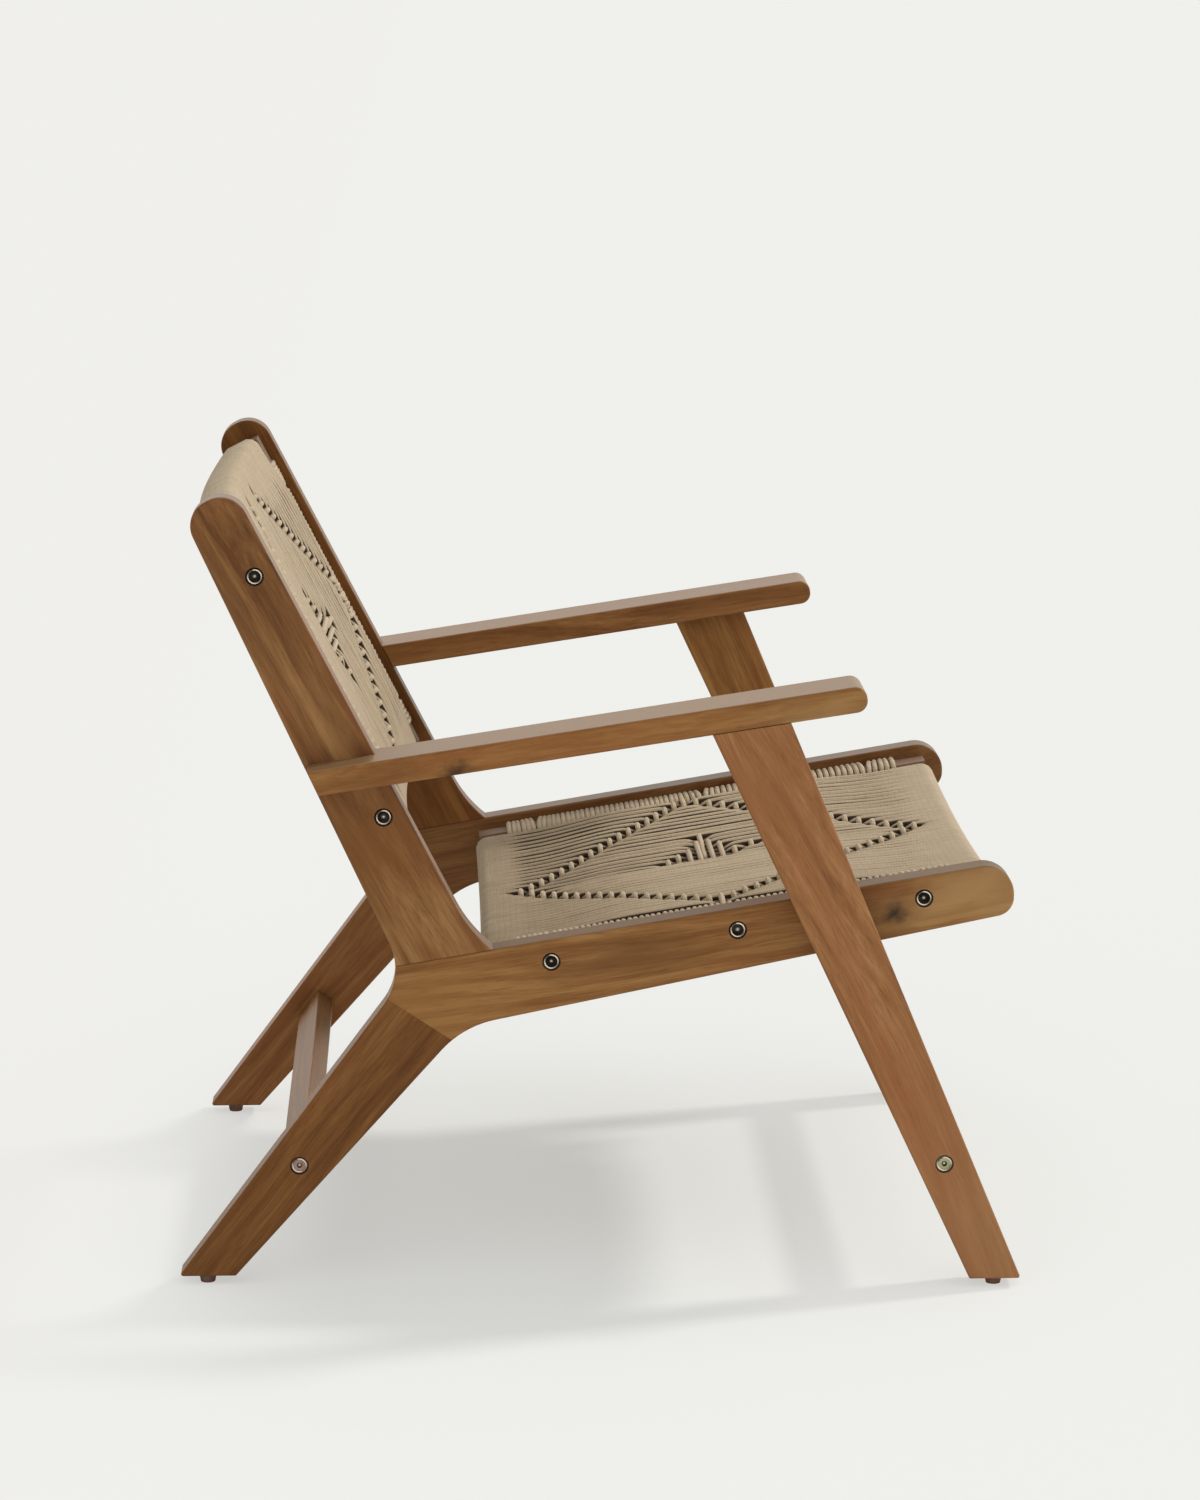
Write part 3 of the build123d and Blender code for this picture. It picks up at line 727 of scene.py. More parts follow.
@dataclass
class WovenPanel:
    """Cord panel: warps wound round the end bars, wefts across them and round the side bars.

    Lengths are in millimetres. In the panel's own frame x runs across the chair, y up the back or
    rearwards along the seat and z towards the sitter, from the line of the bolts. A shade is painted
    shade that is taken off a cord's tone.

    Attributes:
        origin: Middle of the panel in the chair's frame.
        tilt: How far y rises towards the rear, in degrees.
        centre: Place of the diamond's widest row along y.
        high_pitch: Distance between wefts above the widest row, and low_pitch below it.
        nodes: The CAD nodes for the warps, and wraps those for the wefts.
        gap: How far the wefts draw the warps of a bundle together, as a share.
        crown: How far a bundle's middle warp stands up and its outer ones lie low.
        groove: Shade between two bundles, on the side that faces the panel's middle.
        shade: Shade of all warps, low_shade of their low ends and high_shade of their high ends.
        furrow: Shade of each warp's flanks, and rim_shade of the outermost flanks.
        hole: Shade of a warp's flank beside a bundle that is pressed down.
        skew: How far the widest row rises along y for each millimetre across.
        heart_skew: How much of that the diamond's heart shares.
        heart_shift: How many bundles the heart lies further across.
        heart_sink: How much lower the first floats of the heart's middle row lie.
        heart_sunk: How many those are.
        blunt: How many rows on each side of the widest one reach as far.
        middle_level: Height of the warps in the panel's middle, and middle_rise the rise to its sides.
        lift_start: How far inside the ends the warps begin to leave the end bars' dish.
        wrap_rise: Height of the wefts on the side bars, and float_rise that of floats on the warps.
        bolt_room: How far from a bolt the wefts move aside, at most by bolt_clear.
        dip: How deep a float presses its bundle down, and dip_reach how far along it.
        dip_shade: Shade of a bundle under a float, and deep_shade of a weft under the warps.
        pinch: How far it draws the bundle's warps together, as a share.
        stray: How far a cord lies too high or too low, and wander how far it strays on its way.
        weave_margin: How far outside the outermost wefts the warps begin to draw together.
        groove_fade: How much fainter the grooves are below fade_start, as a share.
        shade_reach: Where a warp's shade begins and over what width, as shares of the length.
        sink: Depth at which the painted shade on a weft begins, and how much deeper it is darkest.
        turn_down: How far past a side bar's inner face the painted shade on a weft begins, and over what
            width.
        edge_room: How far past the outermost bundle it may lie under the warps.
    """

    name: str
    origin: Vector
    tilt: float
    length: float
    bolts: tuple[float, ...]
    centre: float
    high_pitch: float
    low_pitch: float
    high_wefts: int
    low_wefts: int
    nodes: list[str]
    wraps: list[str]
    seed: int
    gap: float
    crown: float
    groove: float
    low_shade: float
    high_shade: float = 0.0
    shade: float = 0.0
    furrow: float = 0.5
    rim_shade: float = 5.0
    hole: float = 3.5
    skew: float = 0.0
    heart_skew: float = 0.55
    heart_shift: int = 0
    heart_sink: float = 2.8
    heart_sunk: int = 4
    blunt: int = 0
    bundles: int = 35
    strands: int = 3
    pitch: float = 4.3
    radius: float = 2.5
    weft_radius: float = 2.6
    bar_inner: float = 231.4
    bar_outer: float = 259.4
    bar_top: float = 9.5
    end_bar_top: float = 4.5
    end_bar_height: float = 28.0
    end_bar_round: float = 7.0
    dish: float = 10.0
    clearance: float = 0.3
    middle_level: float = 0.8
    middle_rise: float = 10.6
    middle_power: float = 1.3
    lift_start: float = 52.0
    lift_reach: float = 85.0
    wrap_rise: float = 2.5
    bolt_room: float = 24.0
    bolt_clear: float = 5.4
    float_rise: float = 2.8
    dip: float = 5.4
    dip_reach: float = 9.5
    dip_shade: float = 2.2
    deep_shade: float = 1.9
    pinch: float = 0.42
    stray: float = 0.2
    wander: float = 0.3
    warp_tones: tuple[float, float] = (0.7, 1.0)
    weft_tones: tuple[float, float] = (0.7, 1.1)
    weave_margin: float = 15.0
    weave_edge: float = 45.0
    longest_step: float = 18.0
    shortest_step: float = 1.5
    row_stray: float = 0.35
    wander_pace: float = 0.02
    wander_up: float = 0.35
    uneven_pace: float = 0.011
    groove_uneven: float = 0.9
    groove_fade: float = 0.55
    fade_start: float = 20.0
    fade_reach: float = 90.0
    shade_reach: tuple[float, float] = (0.05, 0.35)
    sink: tuple[float, float] = (0.5, 4.0)
    turn_down: tuple[float, float] = (7.0, 8.0)
    edge_room: float = 5.0
    dip_steps: tuple[float, ...] = (2.0, 4.5, 7.5, 11.0, 15.0)

    def __post_init__(self) -> None:
        """Work out the panel's frame and where each weft floats over which bundles."""
        turn = Matrix.Rotation(math.radians(self.tilt), 4, "X")
        self.matrix = Matrix.Translation(self.origin * MM) @ turn @ Matrix.Scale(MM, 4)
        self.dice = random.Random(self.seed)
        self.half_bundles = self.bundles // 2
        self.end = self.length / 2 - self.end_bar_round
        wefts = range(-self.low_wefts, self.high_wefts + 1)
        self.floats = {weft: self.floated(weft) for weft in wefts}
        self.dips: dict[int, list[float]] = {}
        for places in self.floats.values():
            for bundle, y in places.items():
                self.dips.setdefault(bundle, []).append(y)

    def floated(self, weft: int) -> dict[int, float]:
        """Return the bundles that a weft floats over: the diamond's edge and the heart inside it.

        Args:
            weft: The weft, counted from the widest row.

        Returns:
            Where along the panel it crosses each of those bundles.
        """
        if weft % 2:
            return {}
        row = weft // 2
        reach = self.half_bundles - max(0, abs(row) - self.blunt)
        edge = {reach, -reach} if reach >= 0 else set()
        if row == 0:
            edge |= {reach - 1, 1 - reach}
        places = {bundle: self.row(weft, self.bundle_place(bundle)) for bundle in edge}
        if row in HEART:
            offset, first, last = HEART[row]
            for bundle in range(first + self.heart_shift, last + self.heart_shift + 1):
                lean = self.heart_skew * self.lean(0, self.bundle_place(bundle))
                places[bundle] = self.centre + offset + lean
        return places

    def lean(self, weft: int, x: float) -> float:
        """Return how far a weft leans out of its row, most in the middle of the panel."""
        last = self.high_wefts if weft > 0 else self.low_wefts
        return self.skew * (x + self.bar_inner) * (1.0 - abs(weft) / last)

    def row(self, weft: int, x: float) -> float:
        """Return where a weft lies along the panel at a place across it."""
        pitch = self.high_pitch if weft > 0 else self.low_pitch
        return self.centre + weft * pitch + self.lean(weft, x)

    def bundle_place(self, bundle: int) -> float:
        """Return the middle of a bundle of warps across the panel."""
        return bundle * self.strands * self.pitch

    def hollow(self, x: float) -> float:
        """Return how far the dished end bars lie below the side bars at a place across the panel."""
        return self.dish * (1.0 - (x / self.bar_inner) ** 2)

    def face(self, x: float, y: float) -> float:
        """Return the height of the warps' middle line.

        Args:
            x: Place across the panel.
            y: Place along it.

        Returns:
            The height.
        """
        ends = self.end_bar_top + self.clearance + self.radius - self.hollow(x)
        share = min(1.0, abs(x) / self.bundle_place(self.half_bundles))
        middle = self.middle_level + self.middle_rise * share**self.middle_power
        inside = self.length / 2 - abs(y)
        return ends + (middle - ends) * eased(inside, self.lift_start, self.lift_reach)

    def dipped(self, bundle: int, y: float) -> float:
        """Return how far a bundle is pressed down under its floats, from 0 to 1."""
        rows = self.dips.get(bundle, ())
        return max((math.exp(-(((y - row) / self.dip_reach) ** 2)) for row in rows), default=0.0)

    def woven(self, y: float) -> float:
        """Return how far the wefts gather the warps, from 0 outside the woven stretch to 1 inside."""
        inside = min(y - self.row(-self.low_wefts, 0.0), self.row(self.high_wefts, 0.0) - y)
        return eased(inside, -self.weave_margin, self.weave_edge)

    def shaded(self, y: float) -> float:
        """Return the shade of the warps at a place along the panel."""
        low, high = (eased(side * y / self.length, *self.shade_reach) for side in (-1, 1))
        return self.shade + self.low_shade * low + self.high_shade * high

    def uneven(self, bundle: int, y: float) -> float:
        """Return the slow unevenness of a bundle along the panel, from -1 to 1."""
        return noise.noise(Vector((self.uneven_pace * y, 7.3 * bundle, 3.1)))

    def face_places(self, bundle: int) -> list[float]:
        """Return where along the panel a warp of a bundle needs points.

        Args:
            bundle: The bundle.

        Returns:
            The places, in order: evenly spaced ones and closer ones round each dip.
        """
        steps = round(2 * self.end / self.longest_step)
        places = [-self.end + 2 * self.end * step / steps for step in range(steps + 1)]
        for row in self.dips.get(bundle, ()):
            places.append(row)
            for offset in self.dip_steps:
                places += [row - offset, row + offset]
        kept: list[float] = []
        for place in sorted(places):
            if abs(place) <= self.end and (not kept or place - kept[-1] > self.shortest_step):
                kept.append(place)
        return kept

    def way_back(self, x: float) -> tuple[list[Vector], list[Vector]]:
        """Return a warp's turns round the end bars and its straight return underneath.

        Args:
            x: Place across the panel.

        Returns:
            The points from the middle of the return to the face, and those from the face back to it.
        """
        radius = self.end_bar_round + self.clearance + self.radius
        top = self.end_bar_top - self.end_bar_round - self.hollow(x)
        bottom = top - self.end_bar_height + 2 * self.end_bar_round
        turn = []
        for height, angles in ((top, (72, 45, 18)), (bottom, (-18, -45, -72))):
            for angle in map(math.radians, angles):
                reach = self.end + radius * math.cos(angle)
                turn.append((reach, height + radius * math.sin(angle)))
        half = 3
        under = []
        for step in range(2 * half + 1):
            stray = self.wander * self.dice.uniform(-1.0, 1.0)
            under.append(Vector((x, self.end * (1.0 - step / half), bottom - radius + stray)))
        low, high = ([Vector((x, side * y, z)) for y, z in turn] for side in (-1, 1))
        return under[half:] + low[::-1], high + under[:half]

    def warp_point(self, bundle: int, strand: int, y: float, lift: float, drift: float) -> Vector:
        """Return a point of a warp on the panel's face.

        Args:
            bundle: The warp's bundle.
            strand: Its place in the bundle, counted from the middle.
            y: Place along the panel.
            lift: How far it lies too high.
            drift: Picks its own way of wandering.

        Returns:
            The point.
        """
        dip = self.dipped(bundle, y)
        woven = self.woven(y)
        wander = noise.noise(Vector((self.wander_pace * y, drift, 0.0)))
        squeeze = 1.0 - woven * self.gap * (1.0 + self.uneven(bundle, y)) - self.pinch * dip
        x = self.bundle_place(bundle) + strand * self.pitch * squeeze + self.wander * wander * woven
        crown = self.crown * (1.0 - 2.0 * abs(strand))
        z = self.face(x, y) - self.dip * dip + woven * (crown + lift + self.wander_up * wander)
        return Vector((x, y, z))

    def flank(self, bundle: int, strand: int, y: float) -> tuple[float, float]:
        """Return the painted shades of a warp's right and left flanks.

        Args:
            bundle: The warp's bundle.
            strand: Its place in the bundle, counted from the middle.
            y: Place along the panel.

        Returns:
            The two shades.
        """
        sides = [self.furrow, self.furrow]
        if strand:
            shade = self.hole * self.dipped(bundle + strand, y)
            if strand * bundle <= 0:
                uneven = 1.0 + self.groove_uneven * self.uneven(bundle, y)
                painted_share = 1.0 - self.groove_fade * eased(-y, self.fade_start, self.fade_reach)
                shade += self.woven(y) * self.groove * uneven * painted_share
            elif abs(bundle) == self.half_bundles:
                shade += self.woven(y) * self.rim_shade
            sides[int(strand > 0)] += shade
        return (sides[0], sides[1])

    def warp(self, cord: int) -> CordRun:
        """Return one warp as a closed loop round both end bars.

        Args:
            cord: The cord, counted from one side.

        Returns:
            The cord.
        """
        bundle = cord // self.strands - self.half_bundles
        strand = cord % self.strands - self.strands // 2
        tone = self.dice.uniform(*self.warp_tones)
        lift = self.dice.uniform(-self.stray, self.stray)
        drift = self.dice.uniform(0.0, 100.0)
        places = self.face_places(bundle)
        face = [self.warp_point(bundle, strand, y, lift, drift) for y in places]
        tones = [tone - self.dip_shade * self.dipped(bundle, y) ** 2 - self.shaded(y) for y in places]
        flanks = [self.flank(bundle, strand, y) for y in places]
        x = self.bundle_place(bundle) + strand * self.pitch
        before, after = self.way_back(x)
        tones = [tone - self.shaded(-self.end)] * len(before) + tones
        tones += [tone - self.shaded(self.end)] * len(after)
        plain = [(self.furrow, self.furrow)]
        flanks = plain * len(before) + flanks + plain * len(after)
        return CordRun([self.matrix @ point for point in before + face + after], True, tones, flanks)

    def wrap(self, weft: int, side: int) -> list[Vector]:
        """Return a weft's turn round a side bar, from under the warps outwards.

        Args:
            weft: The weft.
            side: 1 for the sitter's left and -1 for the right.

        Returns:
            The points.
        """
        top = self.bar_top
        inner = self.bar_inner
        outer = self.bar_outer
        y = self.row(weft, side * inner) + self.dice.uniform(-self.row_stray, self.row_stray)
        gap = min((y - bolt for bolt in self.bolts), key=abs)
        shift = math.copysign(self.bolt_clear * max(0.0, 1.0 - abs(gap) / self.bolt_room), gap)
        rise = top + self.wrap_rise + self.dice.uniform(-self.stray, self.stray)
        climb = [(inner - 4.0, -2.5, 0.0), (inner - 2.4, 3.0, 0.05), (inner - 0.6, rise - 3.4, 0.1)]
        over = [
            (inner + 1.2, rise - 1.2, 0.15),
            (inner + 4.5, rise, 0.2),
            (0.5 * (inner + outer), rise + 0.2, 0.3),
            (outer - 4.0, rise - 0.3, 0.55),
            (outer - 1.0, rise - 1.6, 0.8),
            (outer + 0.7, top - 2.6, 1.0),
            (outer + 0.9, 0.0, 1.0),
            (outer + 0.7, 3.2 - top, 1.0),
            (outer - 1.0, 0.5 - top, 0.9),
            (outer - 4.5, -top - 0.6, 0.7),
            (inner + 4.5, -top - 0.6, 0.4),
            (inner + 0.6, 0.8 - top, 0.3),
            (inner - 2.0, 5.5 - top, 0.2),
        ]
        line = over if self.half_bundles in self.floats[weft] else climb + over
        return [Vector((side * x, y + shift * share, z)) for x, z, share in line]

    def crossing(self, weft: int) -> list[Vector]:
        """Return a weft's way across the panel, under the warps and over those that it floats on.

        Args:
            weft: The weft.

        Returns:
            The points, from the sitter's right to the left.
        """
        under = self.radius + self.weft_radius
        half = 0.5 * self.strands * self.pitch
        over = self.floats[weft]
        points = []
        for bundle in range(-self.half_bundles, self.half_bundles + 1):
            x = self.bundle_place(bundle)
            if bundle not in over:
                y = self.row(weft, x)
                points.append((x, y, -under - self.dip * self.dipped(bundle, y)))
                continue
            y = over[bundle]
            sunk = weft == 0 and 0 <= bundle - self.heart_shift < self.heart_sunk
            rise = self.float_rise - self.heart_sink * sunk
            climb = [(half + 0.2, -4.5), (half - 1.0, rise - 2.0), (half - 2.8, rise - 0.2)]
            if bundle - 1 not in over:
                points += [(x - reach, y, z) for reach, z in climb]
            points.append((x, y, rise))
            if bundle + 1 not in over:
                points += [(x + reach, y, z) for reach, z in climb[::-1]]
        # A float at the panel's sides runs straight on to the side bars, without its climbs.
        if self.half_bundles in over:
            points = points[len(climb) : -len(climb)]
        return [Vector((x, y, self.face(x, y) + z)) for x, y, z in points]

    def weft(self, weft: int) -> CordRun:
        """Return one weft from its turn round one side bar to its turn round the other.

        Args:
            weft: The weft.

        Returns:
            The cord, with painted shade where it lies deep and where it turns down outside.
        """
        points = self.wrap(weft, -1)[::-1] + self.crossing(weft) + self.wrap(weft, 1)
        tone = self.dice.uniform(*self.weft_tones)
        edge = self.bundle_place(self.half_bundles) + self.edge_room
        start, width = self.turn_down
        tones = []
        for point in points:
            # Painted shade where the weft lies deep under the warps, and where it turns down outside beside
            # the rail.
            depth = self.face(point.x, point.y) - point.z if abs(point.x) < edge else 0.0
            outside = eased(abs(point.x), self.bar_inner + start, width)
            tones.append(tone - self.deep_shade * eased(depth, *self.sink) - outside)
        flanks = [(0.0, 0.0)] * len(points)
        return CordRun([self.matrix @ point for point in points], False, tones, flanks)

    def build(self, finish: bpy.types.Material) -> None:
        """Make the panel's two pieces, the warps and the wefts.

        Args:
            finish: The cord's material.
        """
        warps = [self.warp(cord) for cord in range(self.bundles * self.strands)]
        wefts = [self.weft(weft) for weft in sorted(self.floats)]
        for name, radius, runs, nodes in (
            ("warps", self.radius, warps, self.nodes),
            ("wefts", self.weft_radius, wefts, self.wraps),
        ):
            mesh = CordWork(radius * MM, runs).mesh(f"{self.name}_{name}")
            settle(mesh, nodes, [finish])


@dataclass
class ConnectorBolts:
    """Flat-headed bolts with a hex socket, let into the outsides of the boards.

    Lengths are in millimetres.

    Attributes:
        node: The CAD node for this set.
        places: Where the bolts are in the side view, as y and z in the chair's frame.
        top: Distance of the heads' tops from the chair's middle, and tip that of the tips.
        bevel: Width of the bevel at the tip, and of the flat round the socket.
        socket_radius: Radius of the socket's corners.
        drill_point: Depth of the drill point in the socket's bottom.
        dish_depth: Depth of the dish inside the rolled rim.
        rim_width: Distance from the dish's edge to the head's edge, of which roll_width is rolled.
        steps: How many steps there are in a full turn, a multiple of the socket's sides.
        shine: Mean painted glint of the rim, how far it swings and the turn at which it begins.
        blind: Turn of the stretch of the rim that is painted dark as a reflection, and how far that
            reaches.
    """

    node: str
    places: list[tuple[float, float]]
    top: float
    tip: float
    head_radius: float = 7.25
    head_height: float = 3.0
    shank_radius: float = 3.0
    bevel: float = 0.8
    socket_radius: float = 2.7
    socket_depth: float = 1.6
    drill_radius: float = 1.141154
    drill_point: float = 0.5
    dish_depth: float = 0.8
    rim_width: float = 2.0
    roll_width: float = 1.3
    steps: int = 36
    sides: int = 6
    shine: Triple = (0.62, 0.38, 1.2)
    blind: tuple[float, float] = (0.7, 0.5)

    def profile(self) -> list[tuple[float, float]]:
        """Work out the bolt's outline, from the flat round the socket to the tip.

        Returns:
            Its points, as radius and height.
        """
        head = self.head_radius
        inside = head - self.rim_width
        tip = self.tip - self.top
        return [
            (self.socket_radius + self.bevel, -self.dish_depth),
            (inside, -self.dish_depth),
            (inside + 0.15, -0.3),
            (inside + 0.45, -0.06),
            (inside + 0.75, 0.0),
            (inside + 1.05, -0.06),
            (inside + self.roll_width, -0.3),
            (head - 0.15, -0.5),
            (head, -0.8),
            (head, -self.head_height),
            (self.shank_radius, -self.head_height),
            (self.shank_radius, tip + self.bevel),
            (self.shank_radius - self.bevel, tip),
        ]

    def circle(self, count: int, radius: float, height: float) -> list[Vector]:
        """Return places evenly round the bolt, the first of them on a corner of the socket."""
        turns = [math.pi / 6 + 2.0 * math.pi * step / count for step in range(count)]
        return [Vector((radius * math.cos(turn), radius * math.sin(turn), height)) for turn in turns]

    def mouth(self) -> list[Vector]:
        """Work out the mouth of the hex socket.

        Returns:
            Places along it, as many as there are steps in a full turn.
        """
        corners = self.circle(self.sides, self.socket_radius, -self.dish_depth)
        share = self.steps // self.sides
        places = []
        for start, end in zip(corners, corners[1:] + corners[:1]):
            places += [start.lerp(end, step / share) for step in range(share)]
        return places

    def close(self, bolt: bmesh.types.BMesh, ring: list, after: list) -> None:
        """Close the strip between two rings that have as many points."""
        for corners in zip(ring, ring[1:] + ring[:1], after[1:] + after[:1], after):
            bolt.faces.new(corners)

    def add_socket(self, bolt: bmesh.types.BMesh, mouth: list[bmesh.types.BMVert]) -> None:
        """Sink the hex socket into the head.

        Args:
            bolt: The turned bolt, still open at the socket's mouth.
            mouth: The points round that.
        """
        floor = -self.dish_depth - self.socket_depth
        bottom, drill = (
            [bolt.verts.new(place) for place in self.circle(self.sides, radius, floor)]
            for radius in (self.socket_radius, self.drill_radius)
        )
        share = self.steps // self.sides
        mouth = mouth + mouth[:1]
        for side, (start, end) in enumerate(zip(bottom, bottom[1:] + bottom[:1])):
            bolt.faces.new(mouth[side * share : (side + 1) * share + 1] + [end, start])
        self.close(bolt, bottom, drill)
        point = bolt.verts.new((0.0, 0.0, floor - self.drill_point))
        for start, end in zip(drill, drill[1:] + drill[:1]):
            bolt.faces.new((start, end, point))

    def glint(self, place: Vector) -> float:
        """Return the rim's painted glint: bright on two sides, and none on a stretch of one of them.

        Args:
            place: A place on the bolt.

        Returns:
            The glint from 0 to 1.
        """
        turn = math.atan2(place.y, place.x) if place.xy.length > self.socket_radius else math.pi
        mean, swing, start = self.shine
        middle, reach = self.blind
        return mean + swing * math.cos(2.0 * turn + start) if abs(turn - middle) > reach else 0.0

    def paint(self, bolt: bmesh.types.BMesh) -> None:
        """Mark the painted glint of each point, and which faces are smooth, painted bright or in the
        socket.

        Args:
            bolt: The bolt.
        """
        glint = bolt.verts.layers.float.new("glint")
        for vert in bolt.verts:
            vert[glint] = self.glint(vert.co)
        inside = self.head_radius - self.rim_width
        for face in bolt.faces:
            middle = face.calc_center_median()
            reach = middle.xy.length
            top = middle.z > -self.head_height / 2
            face.smooth = inside < reach < inside + self.roll_width and top
            # Painted highlight on the rolled rim and on the drill point at the socket's bottom; the other
            # socket faces take its painted shade.
            bright = inside + 0.1 < reach < inside + self.roll_width - 0.05 and top
            bright |= reach < self.drill_radius and middle.z > -self.head_height - 0.5
            face.material_index = 1 if bright else 2 if reach < 0.9 * self.socket_radius else 0

    def model(self) -> bmesh.types.BMesh:
        """Turn one bolt from its outline and sink the socket.

        Returns:
            The bolt along z, with the top of its head at zero.
        """
        bolt = bmesh.new()
        rings = [self.mouth()] + [self.circle(self.steps, *point) for point in self.profile()]
        rings = [[bolt.verts.new(place) for place in ring] for ring in rings]
        for ring, after in zip(rings, rings[1:]):
            self.close(bolt, ring, after)
        bolt.faces.new(rings[-1])
        self.add_socket(bolt, rings[0])
        bmesh.ops.recalc_face_normals(bolt, faces=bolt.faces)
        self.paint(bolt)
        return bolt

    def build(self, finishes: list[bpy.types.Material]) -> None:
        """Make all bolts of the set as one piece.

        Args:
            finishes: Materials of the head's face, its rim and its socket: painted reflection, painted
                highlight and painted shade.
        """
        one = self.model()
        single = bpy.data.meshes.new(f"one_of_{self.node}")
        one.to_mesh(single)
        one.free()
        whole = bmesh.new()
        for side in (-1, 1):
            turn = Matrix.Rotation(side * math.pi / 2, 4, "Y") @ Matrix.Scale(MM, 4)
            for y, z in self.places:
                before = len(whole.verts)
                whole.from_mesh(single)
                whole.verts.ensure_lookup_table()
                spot = Matrix.Translation(Vector((side * self.top, y, z)) * MM)
                bmesh.ops.transform(whole, matrix=spot @ turn, verts=whole.verts[before:])
        bpy.data.meshes.remove(single)
        mesh = bpy.data.meshes.new(f"{self.node}_turned")
        whole.to_mesh(mesh)
        whole.free()
        settle(mesh, [self.node], finishes)


# The knots, and the darker and paler places, on the boards of the sitter's right; the paler places make the
# front ends of the rail, the leg and the arm paler.
POST_PATCHES = (
    Patch((-0.292, 0.225, 0.49), 0.022, 0.09, (0.34, 0.17, 0.06), 0.55),
    Patch((-0.292, 0.32, 0.62), 0.016, 0.12, (0.13, 0.055, 0.02), 0.5),
    Patch((-0.292, 0.19, 0.4), 0.05, 0.07, (0.185, 0.07, 0.0165), 0.7),
)
RAIL_PATCHES = (
    Patch((-0.292, -0.03, 0.298), 0.024, 0.1, (0.16, 0.068, 0.022), 0.7),
    Patch((-0.292, 0.16, 0.255), 0.06, 0.14, (0.3, 0.137, 0.04), 0.55),
    Patch((-0.292, -0.335, 0.355), 0.05, 0.13, (0.42, 0.245, 0.098), 0.75),
    Patch((-0.292, -0.255, 0.334), 0.026, 0.042, (0.18, 0.084, 0.03), 0.65),
    Patch((-0.292, -0.2625, 0.336), 0.012, 0.016, (0.03, 0.024, 0.019), 0.95),
)
LEG_PATCHES = (
    Patch((-0.325, -0.335, 0.06), 0.07, 0.16, (0.335, 0.168, 0.076), 0.6),
    Patch((-0.325, -0.15, 0.455), 0.05, 0.09, (0.262, 0.1, 0.038), 0.6),
)
ARM_PATCHES = (
    Patch((-0.325, 0.19, 0.46), 0.035, 0.08, (0.17, 0.066, 0.021), 0.65),
    Patch((-0.325, 0.125, 0.4715), 0.016, 0.026, (0.05, 0.022, 0.01), 0.95),
    Patch((-0.325, -0.19, 0.512), 0.03, 0.1, (0.42, 0.25, 0.105), 0.6),
)


def woods() -> dict[str, OiledWood]:
    """Return a finish for every kind of wooden node.

    Returns:
        The finishes by a part of the node's name, of which the first that fits counts.
    """
    return {
        "right_back_post": OiledWood(
            "oiled_wood_right_post", Grain.BACK, Tone.POST, 0.31, broad=0.55, patches=POST_PATCHES
        ),
        "left_back_post": OiledWood("oiled_wood_left_post", Grain.BACK, Tone.SHADED, 1.13),
        "right_seat_rail": OiledWood(
            "oiled_wood_right_rail",
            Grain.SEAT,
            Tone.RAIL,
            2.27,
            broad=0.42,
            painted_sheen=0.8,
            upper=0.75,
            sheen=0.2,
            patches=RAIL_PATCHES,
        ),
        "left_seat_rail": OiledWood("oiled_wood_left_rail", Grain.SEAT, Tone.SHADED_RAIL, 3.41, upper=0.85),
        "right_rear_leg": OiledWood("oiled_wood_right_rear_leg", Grain.REAR_LEG, Tone.BROWN, 4.05),
        "left_rear_leg": OiledWood("oiled_wood_left_rear_leg", Grain.REAR_LEG, Tone.LIT, 5.63),
        "right_front_leg": OiledWood(
            "oiled_wood_right_front_leg", Grain.FRONT_LEG, Tone.WARM, 6.17, broad=0.13, patches=LEG_PATCHES
        ),
        "left_front_leg": OiledWood("oiled_wood_left_front_leg", Grain.FRONT_LEG, Tone.GOLDEN, 7.71),
        "right_armrest": OiledWood(
            "oiled_wood_right_arm", Grain.ARM, Tone.GOLDEN, 8.29, patches=ARM_PATCHES
        ),
        "left_armrest": OiledWood("oiled_wood_left_arm", Grain.ARM, Tone.FAR, 9.83, upper=1.25),
        "stretcher": OiledWood("oiled_wood_stretchers", Grain.ACROSS, Tone.DEEP, 10.37, painted_sheen=0.35),
        "seat_side_bar": OiledWood("oiled_wood_seat_bars", Grain.SEAT, Tone.DULL, 11.59, painted_sheen=0.1),
        "back_side_bar": OiledWood("oiled_wood_back_bars", Grain.BACK, Tone.DULL, 12.21, painted_sheen=0.1),
        "_bar": OiledWood("oiled_wood_end_bars", Grain.ACROSS, Tone.DULL, 13.47, painted_sheen=0.1),
        "dowels": OiledWood("dowel_wood_plain", Grain.ACROSS, Tone.PLAIN),
    }


@dataclass
class WoodenFrame:
    """The boards, bars, stretchers and small fittings that keep their CAD shapes.

    Attributes:
        finishes: Finishes of the wooden nodes, by a part of the node's name.
    """

    inserts: PlatedMetal = PlatedMetal("zinc_plated", (0.5, 0.49, 0.46), (0.66, 0.65, 0.62), 0.35)
    glide: MouldedPlastic = MouldedPlastic("brown_plastic", (0.15, 0.075, 0.045))
    finishes: dict[str, OiledWood] = field(default_factory=woods)

    def dress(self) -> None:
        """Give every CAD node that stays its own finish."""
        materials = {"inserts": self.inserts.material(), "glide": self.glide.material()}
        materials |= {key: finish.material() for key, finish in self.finishes.items()}
        for name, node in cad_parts.items():
            key = next((key for key in materials if key in name), None)
            if key is None:
                continue
            for slot in node.material_slots:
                slot.material = materials[key]
            LOG.info("%s: %s", name, materials[key].name)


